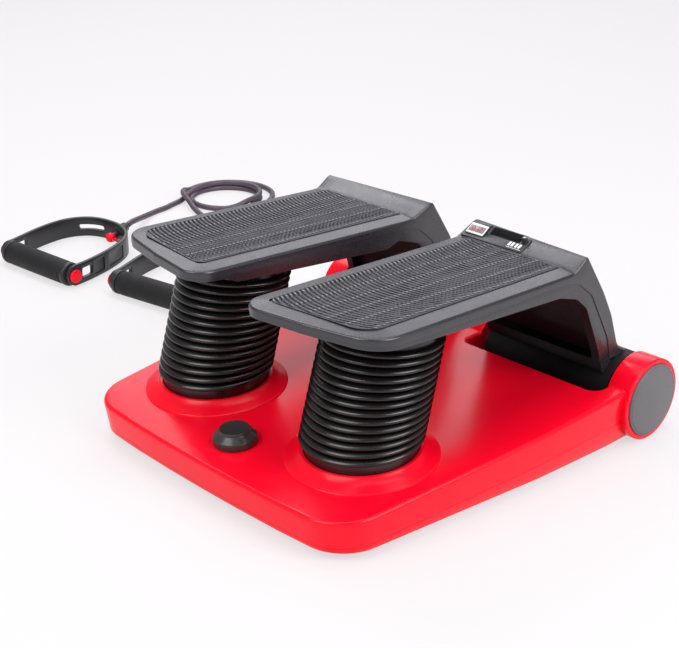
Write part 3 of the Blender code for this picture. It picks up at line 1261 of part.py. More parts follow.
UNIT = new_frame("stepper_frame", None, (UNIT_X, 0.0, 0.0))
RIGHT = new_frame("right_pedal_axis", UNIT, (BELLOWS_X, HUB_Y, HUB_Z))
LEFT = new_frame("left_pedal_axis", UNIT, (-BELLOWS_X, HUB_Y, HUB_Z), (-LEFT_PEDAL_RAISE, 0.0, 0.0))
KNOB_FRAME = new_frame("knob_axis", UNIT, (0.0, KNOB_Y, deck_z(KNOB_Y)),
                       (math.atan(DECK_SLOPE), 0.0, 0.0))

make_top_shell()
make_tray()
make_feet_and_screws()
make_hinge()
make_anchors()
make_bellows_seats()
make_bellows()
make_air_system()
make_knob()
make_pedal("right", RIGHT, 1)
make_pedal("left", LEFT, -1)
make_counter(RIGHT)
for number, (handle_spot, handle_angle) in enumerate(HANDLE_SPOTS, 1):
    make_handle(number, handle_spot, handle_angle)
make_tubes()
make_coil()
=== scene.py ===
"""Looks of the air walker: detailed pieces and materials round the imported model."""

import math

import bmesh
import bpy
from mathutils import Matrix, Vector


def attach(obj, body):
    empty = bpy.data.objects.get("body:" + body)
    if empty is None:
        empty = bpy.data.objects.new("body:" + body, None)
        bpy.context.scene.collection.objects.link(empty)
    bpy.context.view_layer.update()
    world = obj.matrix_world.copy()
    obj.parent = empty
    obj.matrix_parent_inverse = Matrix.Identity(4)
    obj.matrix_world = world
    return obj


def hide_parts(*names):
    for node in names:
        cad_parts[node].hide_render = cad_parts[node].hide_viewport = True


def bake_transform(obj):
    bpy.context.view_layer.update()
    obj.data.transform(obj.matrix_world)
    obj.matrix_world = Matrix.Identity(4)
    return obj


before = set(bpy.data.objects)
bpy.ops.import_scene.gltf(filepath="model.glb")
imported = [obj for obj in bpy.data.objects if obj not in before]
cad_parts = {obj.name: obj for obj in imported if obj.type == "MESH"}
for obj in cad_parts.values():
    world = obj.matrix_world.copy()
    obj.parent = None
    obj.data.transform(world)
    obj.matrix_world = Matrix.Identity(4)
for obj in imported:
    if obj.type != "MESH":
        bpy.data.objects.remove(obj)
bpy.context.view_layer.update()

# The stepper's own middle in the row frame, and its main places, in metres
UNIT_X = 0.2315
HUB_Y, HUB_Z = 0.1724, 0.0427
FRONT_Y = -0.2205
DECK_SLOPE, SEAM_SLOPE = 0.064, 0.0485
DECK_TILT, SEAM_TILT = math.atan(DECK_SLOPE), math.atan(SEAM_SLOPE)
BELLOWS_X, BELLOWS_Y = 0.1023, -0.1134
KNOB_Y = -0.175
LEFT_RAISE = math.radians(1.0)
GAP = 0.0003            # between pieces that touch in reality
WELD_REACH = 0.00002    # points nearer than this count as one
PEDAL_HALF = 0.0723
GRIP_RADIUS = 0.015
HANDLES = (((-0.585, -0.012), math.radians(4.5)), ((-0.401, 0.033), math.radians(10.0)))
APEX = Vector((-0.0166, 0.1405, 0.0))
APEX_DIRECTION = Vector((-0.42, 0.9075, 0.0)).normalized()
TUBE_RADIUS = 0.004
TUBE_Z = TUBE_RADIUS + GAP
INNER_COIL = (Vector((-0.655, 0.35)), 0.05)
OUTER_COIL = (Vector((-0.661, 0.359)), 0.066)


def shifted(point):
    """Point of the stepper's own frame, in the row frame."""
    return Vector((point[0] + UNIT_X, point[1], point[2]))


def add_item(name, data):
    item = bpy.data.objects.new(name, data)
    bpy.context.scene.collection.objects.link(item)
    return item


# Camera

FOCAL_PIXELS, PHOTO_WIDTH = 1400.0, 679.0
TILT_DOWN, TURN_ROUND = 23.13, 46.34


def make_camera():
    data = bpy.data.cameras.new("camera")
    data.sensor_fit = "HORIZONTAL"
    data.sensor_width = 36.0
    data.lens = FOCAL_PIXELS / PHOTO_WIDTH * data.sensor_width
    data.clip_end = 60.0
    camera = add_item("camera", data)
    camera.location = shifted((0.8869, -0.8899, 0.6441))
    camera.rotation_euler = (math.radians(90.0 - TILT_DOWN), 0.0, math.radians(TURN_ROUND))
    bpy.context.scene.camera = camera


# Materials

CLOUD_SCALE, SMUDGE_SCALE = 9.0, 45.0
WORN_FROM, WORN_TO = 0.52, 0.6      # pointiness of worn edges
GRAIN_HEIGHT = 0.0004


def feed(tree, node, inputs):
    """Sets a node's inputs, each from a value or from the output that feeds it."""
    for key, value in inputs.items():
        if isinstance(value, bpy.types.NodeSocket):
            tree.links.new(value, node.inputs[key])
        else:
            node.inputs[key].default_value = value


def add_node(tree, kind, inputs=None, **settings):
    node = tree.nodes.new(kind)
    for key, value in settings.items():
        setattr(node, key, value)
    feed(tree, node, inputs or {})
    return node


def math_of(tree, operation, first, second, clamp=False):
    node = add_node(tree, "ShaderNodeMath", {0: first, 1: second}, operation=operation,
                    use_clamp=clamp)
    return node.outputs["Value"]


def mixed(tree, factor, first, second):
    node = add_node(tree, "ShaderNodeMix", {"Factor": factor, "A": first, "B": second},
                    data_type="RGBA")
    return node.outputs["Result"]


def noise_of(tree, scale, detail, roughness=0.5):
    place = add_node(tree, "ShaderNodeTexCoord").outputs["Object"]
    noise = add_node(tree, "ShaderNodeTexNoise", {"Vector": place, "Scale": scale,
                                                  "Detail": detail, "Roughness": roughness})
    return noise.outputs["Fac"]


def ranged(tree, source, low, high, start=0.3, end=0.7):
    node = add_node(tree, "ShaderNodeMapRange", {"Value": source, "From Min": start,
                                                 "From Max": end, "To Min": low, "To Max": high})
    return node.outputs["Result"]


def surface(name, colour, roughness, spread=0.05, grain=1500.0, depth=0.05, metallic=0.0,
            shade=0.12, edge=0.0, specular=0.5, cells=0.0):
    """Moulded or metal surface with its own grain, cloudy gloss and slightly worn edges."""
    material = bpy.data.materials.new(name)
    material.use_nodes = True
    tree = material.node_tree
    darker, lighter, worn = ((*[min(1.0, c * factor + more) for c in colour], 1.0)
                             for factor, more in ((1 - shade, 0.0), (1 + shade, 0.0), (1.6, 0.03)))
    clouds = ranged(tree, noise_of(tree, CLOUD_SCALE, 4.0), 0.0, 1.0)
    tone = mixed(tree, clouds, darker, lighter)
    if edge:
        bent = add_node(tree, "ShaderNodeNewGeometry").outputs["Pointiness"]
        tone = mixed(tree, ranged(tree, bent, 0.0, edge, WORN_FROM, WORN_TO), tone, worn)
    smudges = noise_of(tree, SMUDGE_SCALE, 5.0, 0.6)
    height = noise_of(tree, grain, 2.0)
    if cells:
        place = add_node(tree, "ShaderNodeTexCoord").outputs["Object"]
        cell = add_node(tree, "ShaderNodeTexVoronoi", {"Vector": place, "Scale": cells})
        height = math_of(tree, "ADD", height, cell.outputs["Distance"])
    bump = add_node(tree, "ShaderNodeBump", {"Strength": depth, "Distance": GRAIN_HEIGHT,
                                             "Height": height})
    feed(tree, tree.nodes["Principled BSDF"], {
        "Base Color": tone, "Metallic": metallic, "Specular IOR Level": specular,
        "Roughness": ranged(tree, smudges, roughness - spread, roughness + spread),
        "Normal": bump.outputs["Normal"]})
    return material


RED = surface("red_gloss", (0.92, 0.002, 0.02), 0.22, 0.04, 700.0, 0.04,
              shade=0.03, specular=0.22)
PEDAL = surface("pedal_grain", (0.018, 0.0172, 0.0225), 0.28, 0.03, 2600.0, 0.2,
                edge=0.4, specular=0.7)
TREAD = surface("tread_grain", (0.045, 0.043, 0.053), 0.42, 0.06, 2200.0, 0.3,
                edge=0.6, specular=0.35)
# Darker, rougher rubber in the tread's grooves: painted shade
TREAD_GROOVE_SHADE = surface("tread_groove_painted_shade", (0.006, 0.006, 0.008), 0.62, 0.06, 2200.0,
                    0.3, specular=0.2)
# Lighter rubber on the stud tops: painted highlight
TREAD_STUD_HIGHLIGHT = surface("tread_stud_painted_highlight", (0.17, 0.166, 0.185), 0.36, 0.06, 2200.0, 0.2)
DARK = surface("dark_satin", (0.014, 0.014, 0.016), 0.34, 0.06, 1600.0, 0.12,
               edge=0.4)
# Darker, matt plastic in the leg's hollow, under the arch and on the barrel: painted shade
HOLLOW_SHADE = surface("hollow_painted_shade", (0.005, 0.005, 0.006), 0.52, 0.06, 1600.0, 0.12,
                 specular=0.2)
BELLOWS = surface("bellows_gloss", (0.004, 0.004, 0.0045), 0.26, 0.06, 900.0,
                  0.05, specular=0.6)
KNOB = surface("knob_satin", (0.03, 0.028, 0.027), 0.26, 0.05, 2400.0, 0.15,
               edge=0.6)
GREY = surface("cap_grey", (0.125, 0.125, 0.132), 0.42, 0.05, 2600.0, 0.25,
               edge=0.3)
RUBBER = surface("foot_rubber", (0.02, 0.02, 0.02), 0.8, 0.08, 1400.0, 0.35)
STEEL = surface("zinc_steel", (0.55, 0.55, 0.57), 0.28, 0.08, 1200.0, 0.08, metallic=1.0)
BRASS = surface("turned_brass", (0.62, 0.45, 0.18), 0.32, 0.08, 1200.0, 0.08,
                metallic=1.0)
WHITE = surface("white_nylon", (0.75, 0.75, 0.73), 0.42, 0.06, 1500.0, 0.08,
                shade=0.04)
GREEN = surface("circuit_green", (0.02, 0.16, 0.05), 0.4, 0.06, 1500.0, 0.08)
FOAM = surface("grip_foam", (0.005, 0.005, 0.006), 0.62, 0.08, 3000.0, 0.5,
               cells=1400.0, specular=0.35)
TUBE = surface("latex_tube", (0.07, 0.048, 0.07), 0.42, 0.08, 1200.0, 0.1, shade=0.2)
DIGIT = surface("display_digit", (0.3, 0.005, 0.02), 0.4, 0.03, 900.0, 0.02)
GLASS = surface("display_pane", (0.26, 0.2, 0.22), 0.22, 0.03, 900.0, 0.02)


# Mesh helpers

CURVE_STEPS = 24        # between two points of a route
SHARPEST = 0.3          # keeps an inset's points near at sharp corners


def share_of(value, low, high):
    """How far a value lies from low to high, as 0 to 1."""
    return min(1.0, max(0.0, (value - low) / (high - low)))


def eased(value, low, high):
    share = share_of(value, low, high)
    return share * share * (3 - 2 * share)


def rounded(corners, steps=8, closed=True):
    """Outline through (x, y) corners, with an arc at each that is given as (x, y, radius)."""
    outline = []
    last = len(corners) - 1
    for index, (x, y, *own) in enumerate(corners):
        here = Vector((x, y))
        radius = own[0] if own else 0.0
        if radius == 0.0 or (not closed and index in (0, last)):
            outline.append(here)
            continue
        back = (Vector(corners[index - 1][:2]) - here).normalized()
        ahead = (Vector(corners[(index + 1) % len(corners)][:2]) - here).normalized()
        half = back.angle(ahead) / 2
        centre = here + (back + ahead).normalized() * radius / math.sin(half)
        start = here + back * radius / math.tan(half) - centre
        turn = (math.pi - 2 * half) * (-1 if back.cross(ahead) > 0 else 1)
        for step in range(steps + 1):
            outline.append(centre + Matrix.Rotation(turn * step / steps, 2) @ start)
    return outline


def inset(outline, distance):
    """Counterclockwise outline with each point moved inward, by one distance or by its own."""
    moved = []
    for index, here in enumerate(outline):
        before = (here - outline[index - 1]).normalized()
        after = (outline[(index + 1) % len(outline)] - here).normalized()
        inward = Vector((-before.y - after.y, before.x + after.x))
        amount = distance[index] if isinstance(distance, list) else distance
        moved.append(here + inward * amount / max(SHARPEST, 1 + before.dot(after)))
    return moved


def resampled(points, spacing):
    """Points evenly spaced on an open line, with its ends kept."""
    total = sum((b - a).length for a, b in zip(points, points[1:]))
    count = max(2, round(total / spacing))
    even, travelled = [points[0]], 0.0
    for a, b in zip(points, points[1:]):
        piece = (b - a).length
        while len(even) < count and travelled + piece >= total * len(even) / count:
            even.append(a.lerp(b, (total * len(even) / count - travelled) / piece))
        travelled += piece
    return even + [points[-1]]


def smooth_path(points, spacing):
    """Evenly spaced points on a smooth curve through the route."""
    fine, last = [], len(points) - 1
    for index in range(last):
        before = points[index - 1] if index else 2 * points[0] - points[1]
        start, end = points[index], points[index + 1]
        after = points[index + 2] if index < last - 1 else 2 * points[last] - points[last - 1]
        for step in range(CURVE_STEPS):
            t = step / CURVE_STEPS
            fine.append(0.5 * (2 * start + (end - before) * t
                               + (2 * before - 5 * start + 4 * end - after) * t * t
                               + (3 * start - before - 3 * end + after) * t * t * t))
    return resampled(fine + [points[last]], spacing)


ALONG_X = Matrix(((0, 0, 1, 0), (1, 0, 0, 0), (0, 1, 0, 0), (0, 0, 0, 1)))


def at(x, y, z=0.0):
    return Matrix.Translation((x, y, z))


def turned(angle, axis):
    return Matrix.Rotation(angle, 4, axis)


def facing(sign):
    """Turns a shape made along Z so that it points to the right (1) or left (-1)."""
    return (turned(math.pi, "Z") if sign < 0 else Matrix()) @ ALONG_X


def placed(mesh, place):
    mesh.transform(place)
    return mesh


def mesh_from(shape):
    mesh = bpy.data.meshes.new("part")
    bmesh.ops.recalc_face_normals(shape, faces=shape.faces)
    shape.to_mesh(mesh)
    shape.free()
    return mesh


def skin(shape, rows):
    """Faces between neighbouring rows of the same number of points."""
    for a, b in zip(rows, rows[1:]):
        for k in range(len(a) - 1):
            shape.faces.new((a[k], a[k + 1], b[k + 1], b[k]))


def loft(rings):
    """Closed body over rings of the same number of points."""
    shape = bmesh.new()
    rows = [[shape.verts.new(point) for point in ring] for ring in rings]
    skin(shape, [[row[-1], *row] for row in rows])
    shape.faces.new(rows[0])
    shape.faces.new(rows[-1])
    return mesh_from(shape)


def circle(radius, sides):
    turns = [2 * math.pi * k / sides for k in range(sides)]
    return [Vector((radius * math.cos(turn), radius * math.sin(turn))) for turn in turns]


def lathe(corners, sides=64, steps=5, ring=False):
    """Body turned about Z from (radius, height) corners: a solid from axis to axis, or a ring."""
    shape = bmesh.new()
    rows = []
    for x, z in rounded(corners, steps, closed=ring):
        spots = circle(x, sides) if x > WELD_REACH else [Vector((0.0, 0.0))]
        rows.append([shape.verts.new((*spot, z)) for spot in spots])
    for a, b in zip(rows, rows[1:] + rows[:1] if ring else rows[1:]):
        for k in range(sides):
            quad = (a[(k - 1) % len(a)], b[(k - 1) % len(b)], b[k % len(b)], a[k % len(a)])
            shape.faces.new(list(dict.fromkeys(quad)))
    return mesh_from(shape)


def slab(outline, low, high, edge=0.0, steps=4):
    """Flat plate from a counterclockwise outline, with rounded rims above and below."""
    levels = [(0.0, low), (0.0, high)]
    if edge:
        arc = [math.pi / 2 * k / steps for k in range(steps + 1)]
        levels = [(edge * (1 - math.sin(a)), low + edge * (1 - math.cos(a))) for a in arc]
        levels += [(edge * (1 - math.cos(a)), high - edge * (1 - math.sin(a))) for a in arc]
    return loft([[Vector((p.x, p.y, z)) for p in inset(outline, d)] for d, z in levels])


def disc(radius, low, high, place=Matrix(), sides=64, edge=0.0):
    return placed(slab(circle(radius, sides), low, high, edge), place)


def rectangle(low, high, radius=0.0, steps=4):
    """Outline between two opposite corners, counterclockwise."""
    return rounded([(low[0], low[1], radius), (high[0], low[1], radius),
                    (high[0], high[1], radius), (low[0], high[1], radius)], steps)


def block(low, high):
    return slab(rectangle(low, high), low[2], high[2])


def cut(mesh, other, operation="DIFFERENCE"):
    """Mesh after one exact Boolean step with another mesh."""
    first, second = add_item("first", mesh), add_item("second", other)
    step = first.modifiers.new("step", "BOOLEAN")
    step.operation = operation
    step.solver = "EXACT"
    step.object = second
    result = evaluated(first)
    bpy.data.objects.remove(first)
    bpy.data.objects.remove(second)
    return result


def evaluated(item):
    graph = bpy.context.evaluated_depsgraph_get()
    return bpy.data.meshes.new_from_object(item.evaluated_get(graph), depsgraph=graph)


def soften(item, width, segments):
    """Gives an object a bevel, after a weld of the doubled points that Boolean steps leave."""
    weld = item.modifiers.new("weld", "WELD")
    weld.merge_threshold = WELD_REACH
    step = item.modifiers.new("edges", "BEVEL")
    step.width = width
    step.segments = segments
    step.limit_method = "ANGLE"
    return step


def bevelled(mesh, width, segments=2, angle=35.0):
    """Mesh with its sharp edges rounded."""
    item = add_item("soft", mesh)
    step = soften(item, width, segments)
    step.angle_limit = math.radians(angle)
    step.miter_outer = "MITER_ARC"
    result = evaluated(item)
    bpy.data.objects.remove(item)
    return result


def joined(meshes):
    shape = bmesh.new()
    for mesh in meshes:
        shape.from_mesh(mesh)
    return mesh_from(shape)


def show(name, mesh, material, body, replaced=(), place=Matrix(), smooth=32.0):
    """Adds a piece that rides on a body and stands for the CAD nodes that it replaces."""
    mesh.transform(place)
    mesh.materials.clear()
    mesh.materials.append(material)
    mesh.shade_smooth()
    mesh.set_sharp_from_angle(angle=math.radians(smooth))
    mesh.name = name
    item = add_item(name, mesh)
    if body:
        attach(item, body)
    if replaced:
        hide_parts(*replaced)
    return item


# Base

DECK_FRONT_Z, SEAM_FRONT_Z, TRAY_Z = 0.0395, 0.0125, 0.008
SIDE_LEAN, DECK_EDGE, SEAM_OVERLAP = 0.005, 0.0042, 0.002
COLLAR_X, CAP_X = 0.1865, 0.2076
HUB = at(0.0, HUB_Y, HUB_Z) @ ALONG_X


def deck_z(y):
    return DECK_FRONT_Z + DECK_SLOPE * (y - FRONT_Y)


def seam_z(y):
    return SEAM_FRONT_Z + SEAM_SLOPE * (y - FRONT_Y)


def deck_frame(x, y):
    return at(x + UNIT_X, y, deck_z(y)) @ turned(DECK_TILT, "X")


def base_outline():
    right = [(0.05, -0.22), (0.1, -0.2185), (0.179, -0.2135, 0.048), (0.2035, 0.02),
             (0.2085, 0.116), (0.2085, 0.165), (0.187, 0.165), (0.187, 0.116, 0.012),
             (0.0195, 0.116, 0.006), (0.0195, 0.165)]
    left = [(-x, *rest) for x, *rest in reversed(right)]
    return rounded([(0.0, FRONT_Y)] + right + left, 12)


def base_ring(outline, height, extra=0.0):
    leans = [SIDE_LEAN * (deck_z(p.y) - height(p.y)) / (deck_z(p.y) - TRAY_Z) + extra
             for p in outline]
    return [Vector((p.x, p.y, height(p.y))) for p in inset(outline, leans)]


def base_bodies():
    """Upper shell and lower tray before any opening, each reaching a little past the seam."""
    outline = base_outline()
    rings = [base_ring(outline, lambda y: seam_z(y) - SEAM_OVERLAP)]
    for step in range(7):
        a = math.pi / 2 * step / 6
        rings.append(base_ring(outline, lambda y: deck_z(y) - DECK_EDGE * (1 - math.sin(a)),
                               DECK_EDGE * (1 - math.cos(a))))
    low = [base_ring(outline, lambda y: TRAY_Z + rise, inward)
           for inward, rise in ((0.0016, 0.0), (0.0005, 0.0006), (0.0, 0.0016))]
    return loft(rings), loft([*low, base_ring(outline, lambda y: seam_z(y) + SEAM_OVERLAP)])


def seam_block(below):
    low, high = (-0.2, GAP / 2) if below else (-GAP / 2, 0.2)
    return placed(block((-0.3, -0.4, low), (0.3, 0.4, high)),
                  at(0.0, 0.0, seam_z(0.0)) @ turned(SEAM_TILT, "X"))


def collar(sign):
    """Round housing at one end of the hinge, with a raised rim round its cap."""
    mesh = lathe([(0.0, 0.0), (0.0415, 0.0, 0.0008), (0.0415, 0.026, 0.0014),
                  (0.0367, 0.026, 0.0006), (0.0367, 0.017), (0.0, 0.017)], 96)
    return placed(mesh, at(sign * COLLAR_X, HUB_Y, HUB_Z) @ facing(sign))


def make_base():
    shell, tray = base_bodies()
    for hub in (collar(1), collar(-1), disc(0.0355, -0.0195, 0.0195, HUB, 72, 0.0008)):
        shell = cut(shell, hub.copy(), "UNION")
        tray = cut(tray, hub, "UNION")
    pad = rounded([(0.0185, 0.19), (0.0185, 0.209, 0.003), (-0.0185, 0.209, 0.003),
                   (-0.0185, 0.19)], 5)
    shell = cut(shell, slab(pad, 0.035, 0.055, 0.001), "UNION")
    for sign, inner_x in ((1, 0.2036), (-1, -0.2236)):
        pocket = disc(0.0366, 0.0, 0.02, at(inner_x, HUB_Y, HUB_Z) @ ALONG_X, 96)
        shell = cut(shell, pocket.copy())
        tray = cut(tray, pocket)
        well = disc(0.05, -0.02, 0.02, deck_frame(sign * BELLOWS_X - UNIT_X, BELLOWS_Y))
        shell = cut(shell, well)
    ring = lathe([(0.0236, 0.004), (0.0236, -0.0007, 0.0003), (0.0246, -0.0007, 0.0003),
                  (0.0246, 0.004)], 64, 3, ring=True)
    shell = cut(shell, placed(ring, deck_frame(-UNIT_X, KNOB_Y)))
    shell = cut(shell, seam_block(True))
    tray = cut(tray, seam_block(False))
    for name, mesh, node in (("base_shell", shell, "base_top_shell"),
                             ("base_lower_tray", tray, "base_tray")):
        show(name, bevelled(mesh, 0.0003, 1, 60.0), RED, "base", [node], at(UNIT_X, 0.0))
    for side, sign in (("right", 1), ("left", -1)):
        make_seat(side, sign)
        make_cap(side, sign)
        make_bellows(side, sign)


def make_seat(side, sign):
    """Flared red collar that the bellows stands in."""
    mesh = lathe([(0.0706, -0.0006), (0.0703, 0.001, 0.0004), (0.0692, 0.0018, 0.0008),
                  (0.059, 0.0066, 0.025), (0.0563, 0.0094, 0.0006), (0.055, 0.01, 0.0006),
                  (0.0524, 0.01, 0.0006), (0.0521, 0.004, 0.001), (0.043, 0.004),
                  (0.043, -0.0006)], 96, 4, ring=True)
    show(f"seat_{side}", mesh, RED, "base", [f"bellows_seat_{side}"],
         deck_frame(sign * BELLOWS_X, BELLOWS_Y), 40.0)


def make_cap(side, sign):
    """Grey end cap, very slightly domed, with a fine groove near its rim."""
    mesh = lathe([(0.0, 0.0076), (0.02, 0.0075), (0.0338, 0.0071, 0.0002),
                  (0.0341, 0.0067, 0.0001), (0.0345, 0.0067, 0.0001), (0.0348, 0.007, 0.0002),
                  (0.0365, 0.0064, 0.0009), (0.0365, 0.0), (0.0335, 0.0), (0.0335, 0.004),
                  (0.0, 0.004)], 96)
    show(f"cap_{side}", mesh, GREY, "base", [f"end_cap_{side}"],
         at(UNIT_X + sign * CAP_X, HUB_Y, HUB_Z) @ facing(sign))


RIBS, RIB_DEPTH, RIB_STEPS = 14, 0.0062, 11
CREST_LOW, CREST_HIGH = 0.0568, 0.0552
CUFF, NECK = 0.0137, 0.005
PLATE_Y, PLATE_Z, PLATE_TILT = -0.0875, 0.1645, math.atan(-0.0655)


def raised(point):
    axis = Vector((0.0, HUB_Y, HUB_Z))
    return axis + Matrix.Rotation(-LEFT_RAISE, 3, "X") @ (point - axis)


def bellows_profile(length):
    """Radius and height of the cuff, the round ribs and the neck."""
    pitch = (length - CUFF - NECK) / RIBS
    profile = [(0.0425, 0.0), (0.0517, 0.0), (0.0522, 0.005), (0.052, 0.01), (0.0514, CUFF)]
    for rib in range(RIBS):
        valley = CREST_LOW + (CREST_HIGH - CREST_LOW) * rib / (RIBS - 1) - RIB_DEPTH
        for step in range(RIB_STEPS):
            share = step / RIB_STEPS
            bulge = math.sin(math.pi * share) ** 0.55 if step else 0.0
            profile.append((valley + RIB_DEPTH * bulge, CUFF + (rib + share) * pitch))
    return profile + [(0.049, length - NECK), (0.049, length), (0.0425, length)]


def make_bellows(side, sign):
    """Fat round ribs that lean from the deck to the plate under the pedal."""
    foot = at(0.0, BELLOWS_Y, deck_z(BELLOWS_Y)) @ turned(DECK_TILT, "X")
    foot = foot @ Vector((0.0, 0.0, 0.004 + GAP))
    top = Vector((0.0, PLATE_Y, PLATE_Z - GAP))
    length = (Vector((0.0, PLATE_Y, PLATE_Z)) - foot).length
    low_end = foot + turned(DECK_TILT, "X") @ Vector((0.0, 0.0, CUFF))
    high_end = top - turned(PLATE_TILT, "X") @ Vector((0.0, 0.0, NECK))
    tilt = PLATE_TILT
    if sign < 0:
        high_end = high_end + raised(top) - top
        tilt -= LEFT_RAISE
    aside = Vector((UNIT_X + sign * BELLOWS_X, 0.0, 0.0))
    rings = []
    for radius, height in bellows_profile(length):
        share = share_of(height, CUFF, length - NECK)
        along = min(0.0, height - CUFF) + max(0.0, height - length + NECK)
        place = (Matrix.Translation(low_end.lerp(high_end, share) + aside)
                 @ turned(DECK_TILT + (tilt - DECK_TILT) * share, "X"))
        rings.append([place @ Vector((*point, along)) for point in circle(radius, 112)])
    piece = show(f"bellows_ribs_{side}", loft(rings), BELLOWS, None, [f"bellows_{side}"],
                 smooth=70.0)
    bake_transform(piece)


def make_knob():
    cap = lathe([(0.0, 0.0139), (0.012, 0.0141), (0.0133, 0.0146, 0.0004),
                 (0.0143, 0.0145, 0.0005), (0.015, 0.012, 0.002), (0.0186, 0.009, 0.002),
                 (0.0206, 0.0074, 0.0016), (0.021, 0.004), (0.0207, 0.0007, 0.0003),
                 (0.0033, 0.0006), (0.0033, 0.0098), (0.0, 0.0098)], 96)
    show("knob_cap", cap, KNOB, "knob", ["valve_knob"], deck_frame(0.0, KNOB_Y))


# Pedals

# Side views as (y, z) corners: the top's back, the seam, the underside, the leg's hollow
UPPER = ((0.078, 0.18746), (0.0868, 0.1872, 0.012), (0.096, 0.1922, 0.01), (0.105, 0.198, 0.0035),
         (0.135, 0.1543, 0.06), (0.1503, 0.1269, 0.06), (0.1638, 0.0914, 0.015), (0.178, 0.0828))
SEAM = ((-0.206, 0.189), (-0.107, 0.1826), (0.072, 0.179, 0.015), (0.0947, 0.1728, 0.015),
        (0.1155, 0.1562, 0.02), (0.1452, 0.105, 0.03), (0.152, 0.08))
LOWER = ((-0.206, 0.1858), (-0.107, 0.178, 0.05), (0.067, 0.1666, 0.03), (0.0926, 0.1586, 0.015),
         (0.109, 0.1449, 0.02), (0.133, 0.0929, 0.03), (0.1405, 0.07), (0.155, 0.056),
         (0.164, 0.07))
POCKET = ((0.03, 0.156), (0.1, 0.1), (0.13, 0.079), (0.145, 0.085), (0.1412, 0.103, 0.03),
          (0.1122, 0.153, 0.02), (0.093, 0.169, 0.015), (0.0715, 0.1748, 0.015), (0.03, 0.1752))
POCKET_HALF, BARREL_RADIUS = 0.0623, 0.0385
TREAD_HALF, TREAD_HEEL, TREAD_TOE, TREAD_SLANT = 0.0549, -0.168, 0.085, 0.13
TREAD_RISE, RIB_HEIGHT, STUD_HEIGHT = 0.0009, 0.0011, 0.0003
RIB_PITCH, RIB_BOW, STUD_ROWS, STUD_HALF = 0.00492, 0.105, (0.05, 0.03, 0.01), 0.0015
# Limits for giving faces another material: heights on the tread, for painted shade in its grooves
# and a painted highlight on its studs, and the arch of the underside, for painted shade
GROOVE_SHADE_BELOW, STUD_HIGHLIGHT_ABOVE, ARCH_START, FACES_DOWN = -0.0005, 0.00009, 0.06, -0.3
HEEL_Y, HEEL_SLANT, HEEL_BOW = -0.184, 0.2, 0.003
HEEL_CORNERS, TREAD_CORNERS = (0.022, 0.034), (0.012, 0.02)
TOP_Y, TOP_Z, TOP_SLOPE = 0.0055, 0.18985, 0.033
# How far the lip moves rearward on the inner side, and over which y and z that fades in
LIP_SKEW, SKEW_Y, SKEW_Z = 0.0095, (0.089, 0.105), (0.1, 0.155)
RIM_END, RIM_WIDTH, RIM_SLOPE, EDGE = 0.078, 0.0174, 0.0022, 0.0024
# Distances from the edge at which the top has rows of points, and the bed sunk for the tread
RIM_DEPTHS = (0.0, 0.0001, 0.0003, 0.0006, 0.001, 0.0015, 0.002, EDGE, 0.0045, 0.008, 0.012, 0.016,
              0.0172, RIM_WIDTH, 0.0176, 0.021)
BED_DEPTH, BED_END, ROW_SPACING = 0.0012, 0.0849, 0.0026


def pedal_top_z(y):
    return TOP_Z - TOP_SLOPE * (y - TOP_Y)


def pedal_place(side):
    if side == "right":
        return at(UNIT_X + BELLOWS_X, 0.0)
    turn = at(0.0, HUB_Y, HUB_Z) @ turned(-LEFT_RAISE, "X") @ at(0.0, -HUB_Y, -HUB_Z)
    return at(UNIT_X - BELLOWS_X, 0.0) @ turn


def pedal_plan(inward=0.0, end=0.3):
    """Right pedal in plan, counterclockwise; its heel reaches further out on the inner side."""
    half, heel = PEDAL_HALF - inward, HEEL_Y + inward
    reach = HEEL_SLANT * half
    inner, outer = (radius - inward for radius in HEEL_CORNERS)
    return [(-half, end), (-half, heel - reach + HEEL_BOW, inner), (0.0, heel),
            (half, heel + reach + HEEL_BOW, outer), (half, end)]


def pushed(x, y, z):
    """Height line of the lip and upper leg, moved rearward toward the pedal's inner side."""
    inner = (PEDAL_HALF - x) / (2 * PEDAL_HALF)
    return y + LIP_SKEW * inner * share_of(y, *SKEW_Y) * share_of(z, *SKEW_Z)


def at_y(line, y):
    """Height of an open (y, z) line at a y."""
    for a, b in zip(line, line[1:]):
        if a.x <= y <= b.x:
            return a.y + (b.y - a.y) * (y - a.x) / (b.x - a.x)
    return line[0].y if y < line[0].x else line[-1].y


def edge_drop(inward, fade=1.0):
    """How far the surface lies below the top plane at a distance from the edge."""
    drop = RIM_SLOPE * fade * max(0.0, 1 - inward / RIM_WIDTH)
    if inward < EDGE:
        drop += EDGE * (1 - math.sqrt(max(0.0, 1 - (1 - inward / EDGE) ** 2)))
    return drop


def bed(depth):
    """How far the field under the tread is sunk, at a distance from the edge."""
    return BED_DEPTH if depth > RIM_WIDTH else 0.0


def rim_band(shape, edge_line):
    """Rows of points from the pedal's edge inward, along its heel and both sides."""
    last = len(edge_line) - 1
    band = []
    for k, here in enumerate(edge_line):
        along = edge_line[min(k + 1, last)] - edge_line[max(k - 1, 0)]
        inward = Vector((along.y, -along.x)).normalized()
        row = []
        for depth in RIM_DEPTHS:
            spot = here + inward * depth
            z = pedal_top_z(spot.y) - edge_drop(depth) - bed(depth)
            row.append(shape.verts.new((spot.x, spot.y, z)))
        band.append(row)
    return band


def lip_line():
    """Height line from the end of the rim over the lip and down the back of the leg."""
    flat = [Vector((y, pedal_top_z(y))) for y in (RIM_END, 0.082, 0.0848, 0.085, 0.0853)]
    curve = [p for p in rounded(UPPER, 8, closed=False) if p.x > flat[-1].x]
    return flat[:-1] + resampled([flat[-1], *curve], ROW_SPACING)


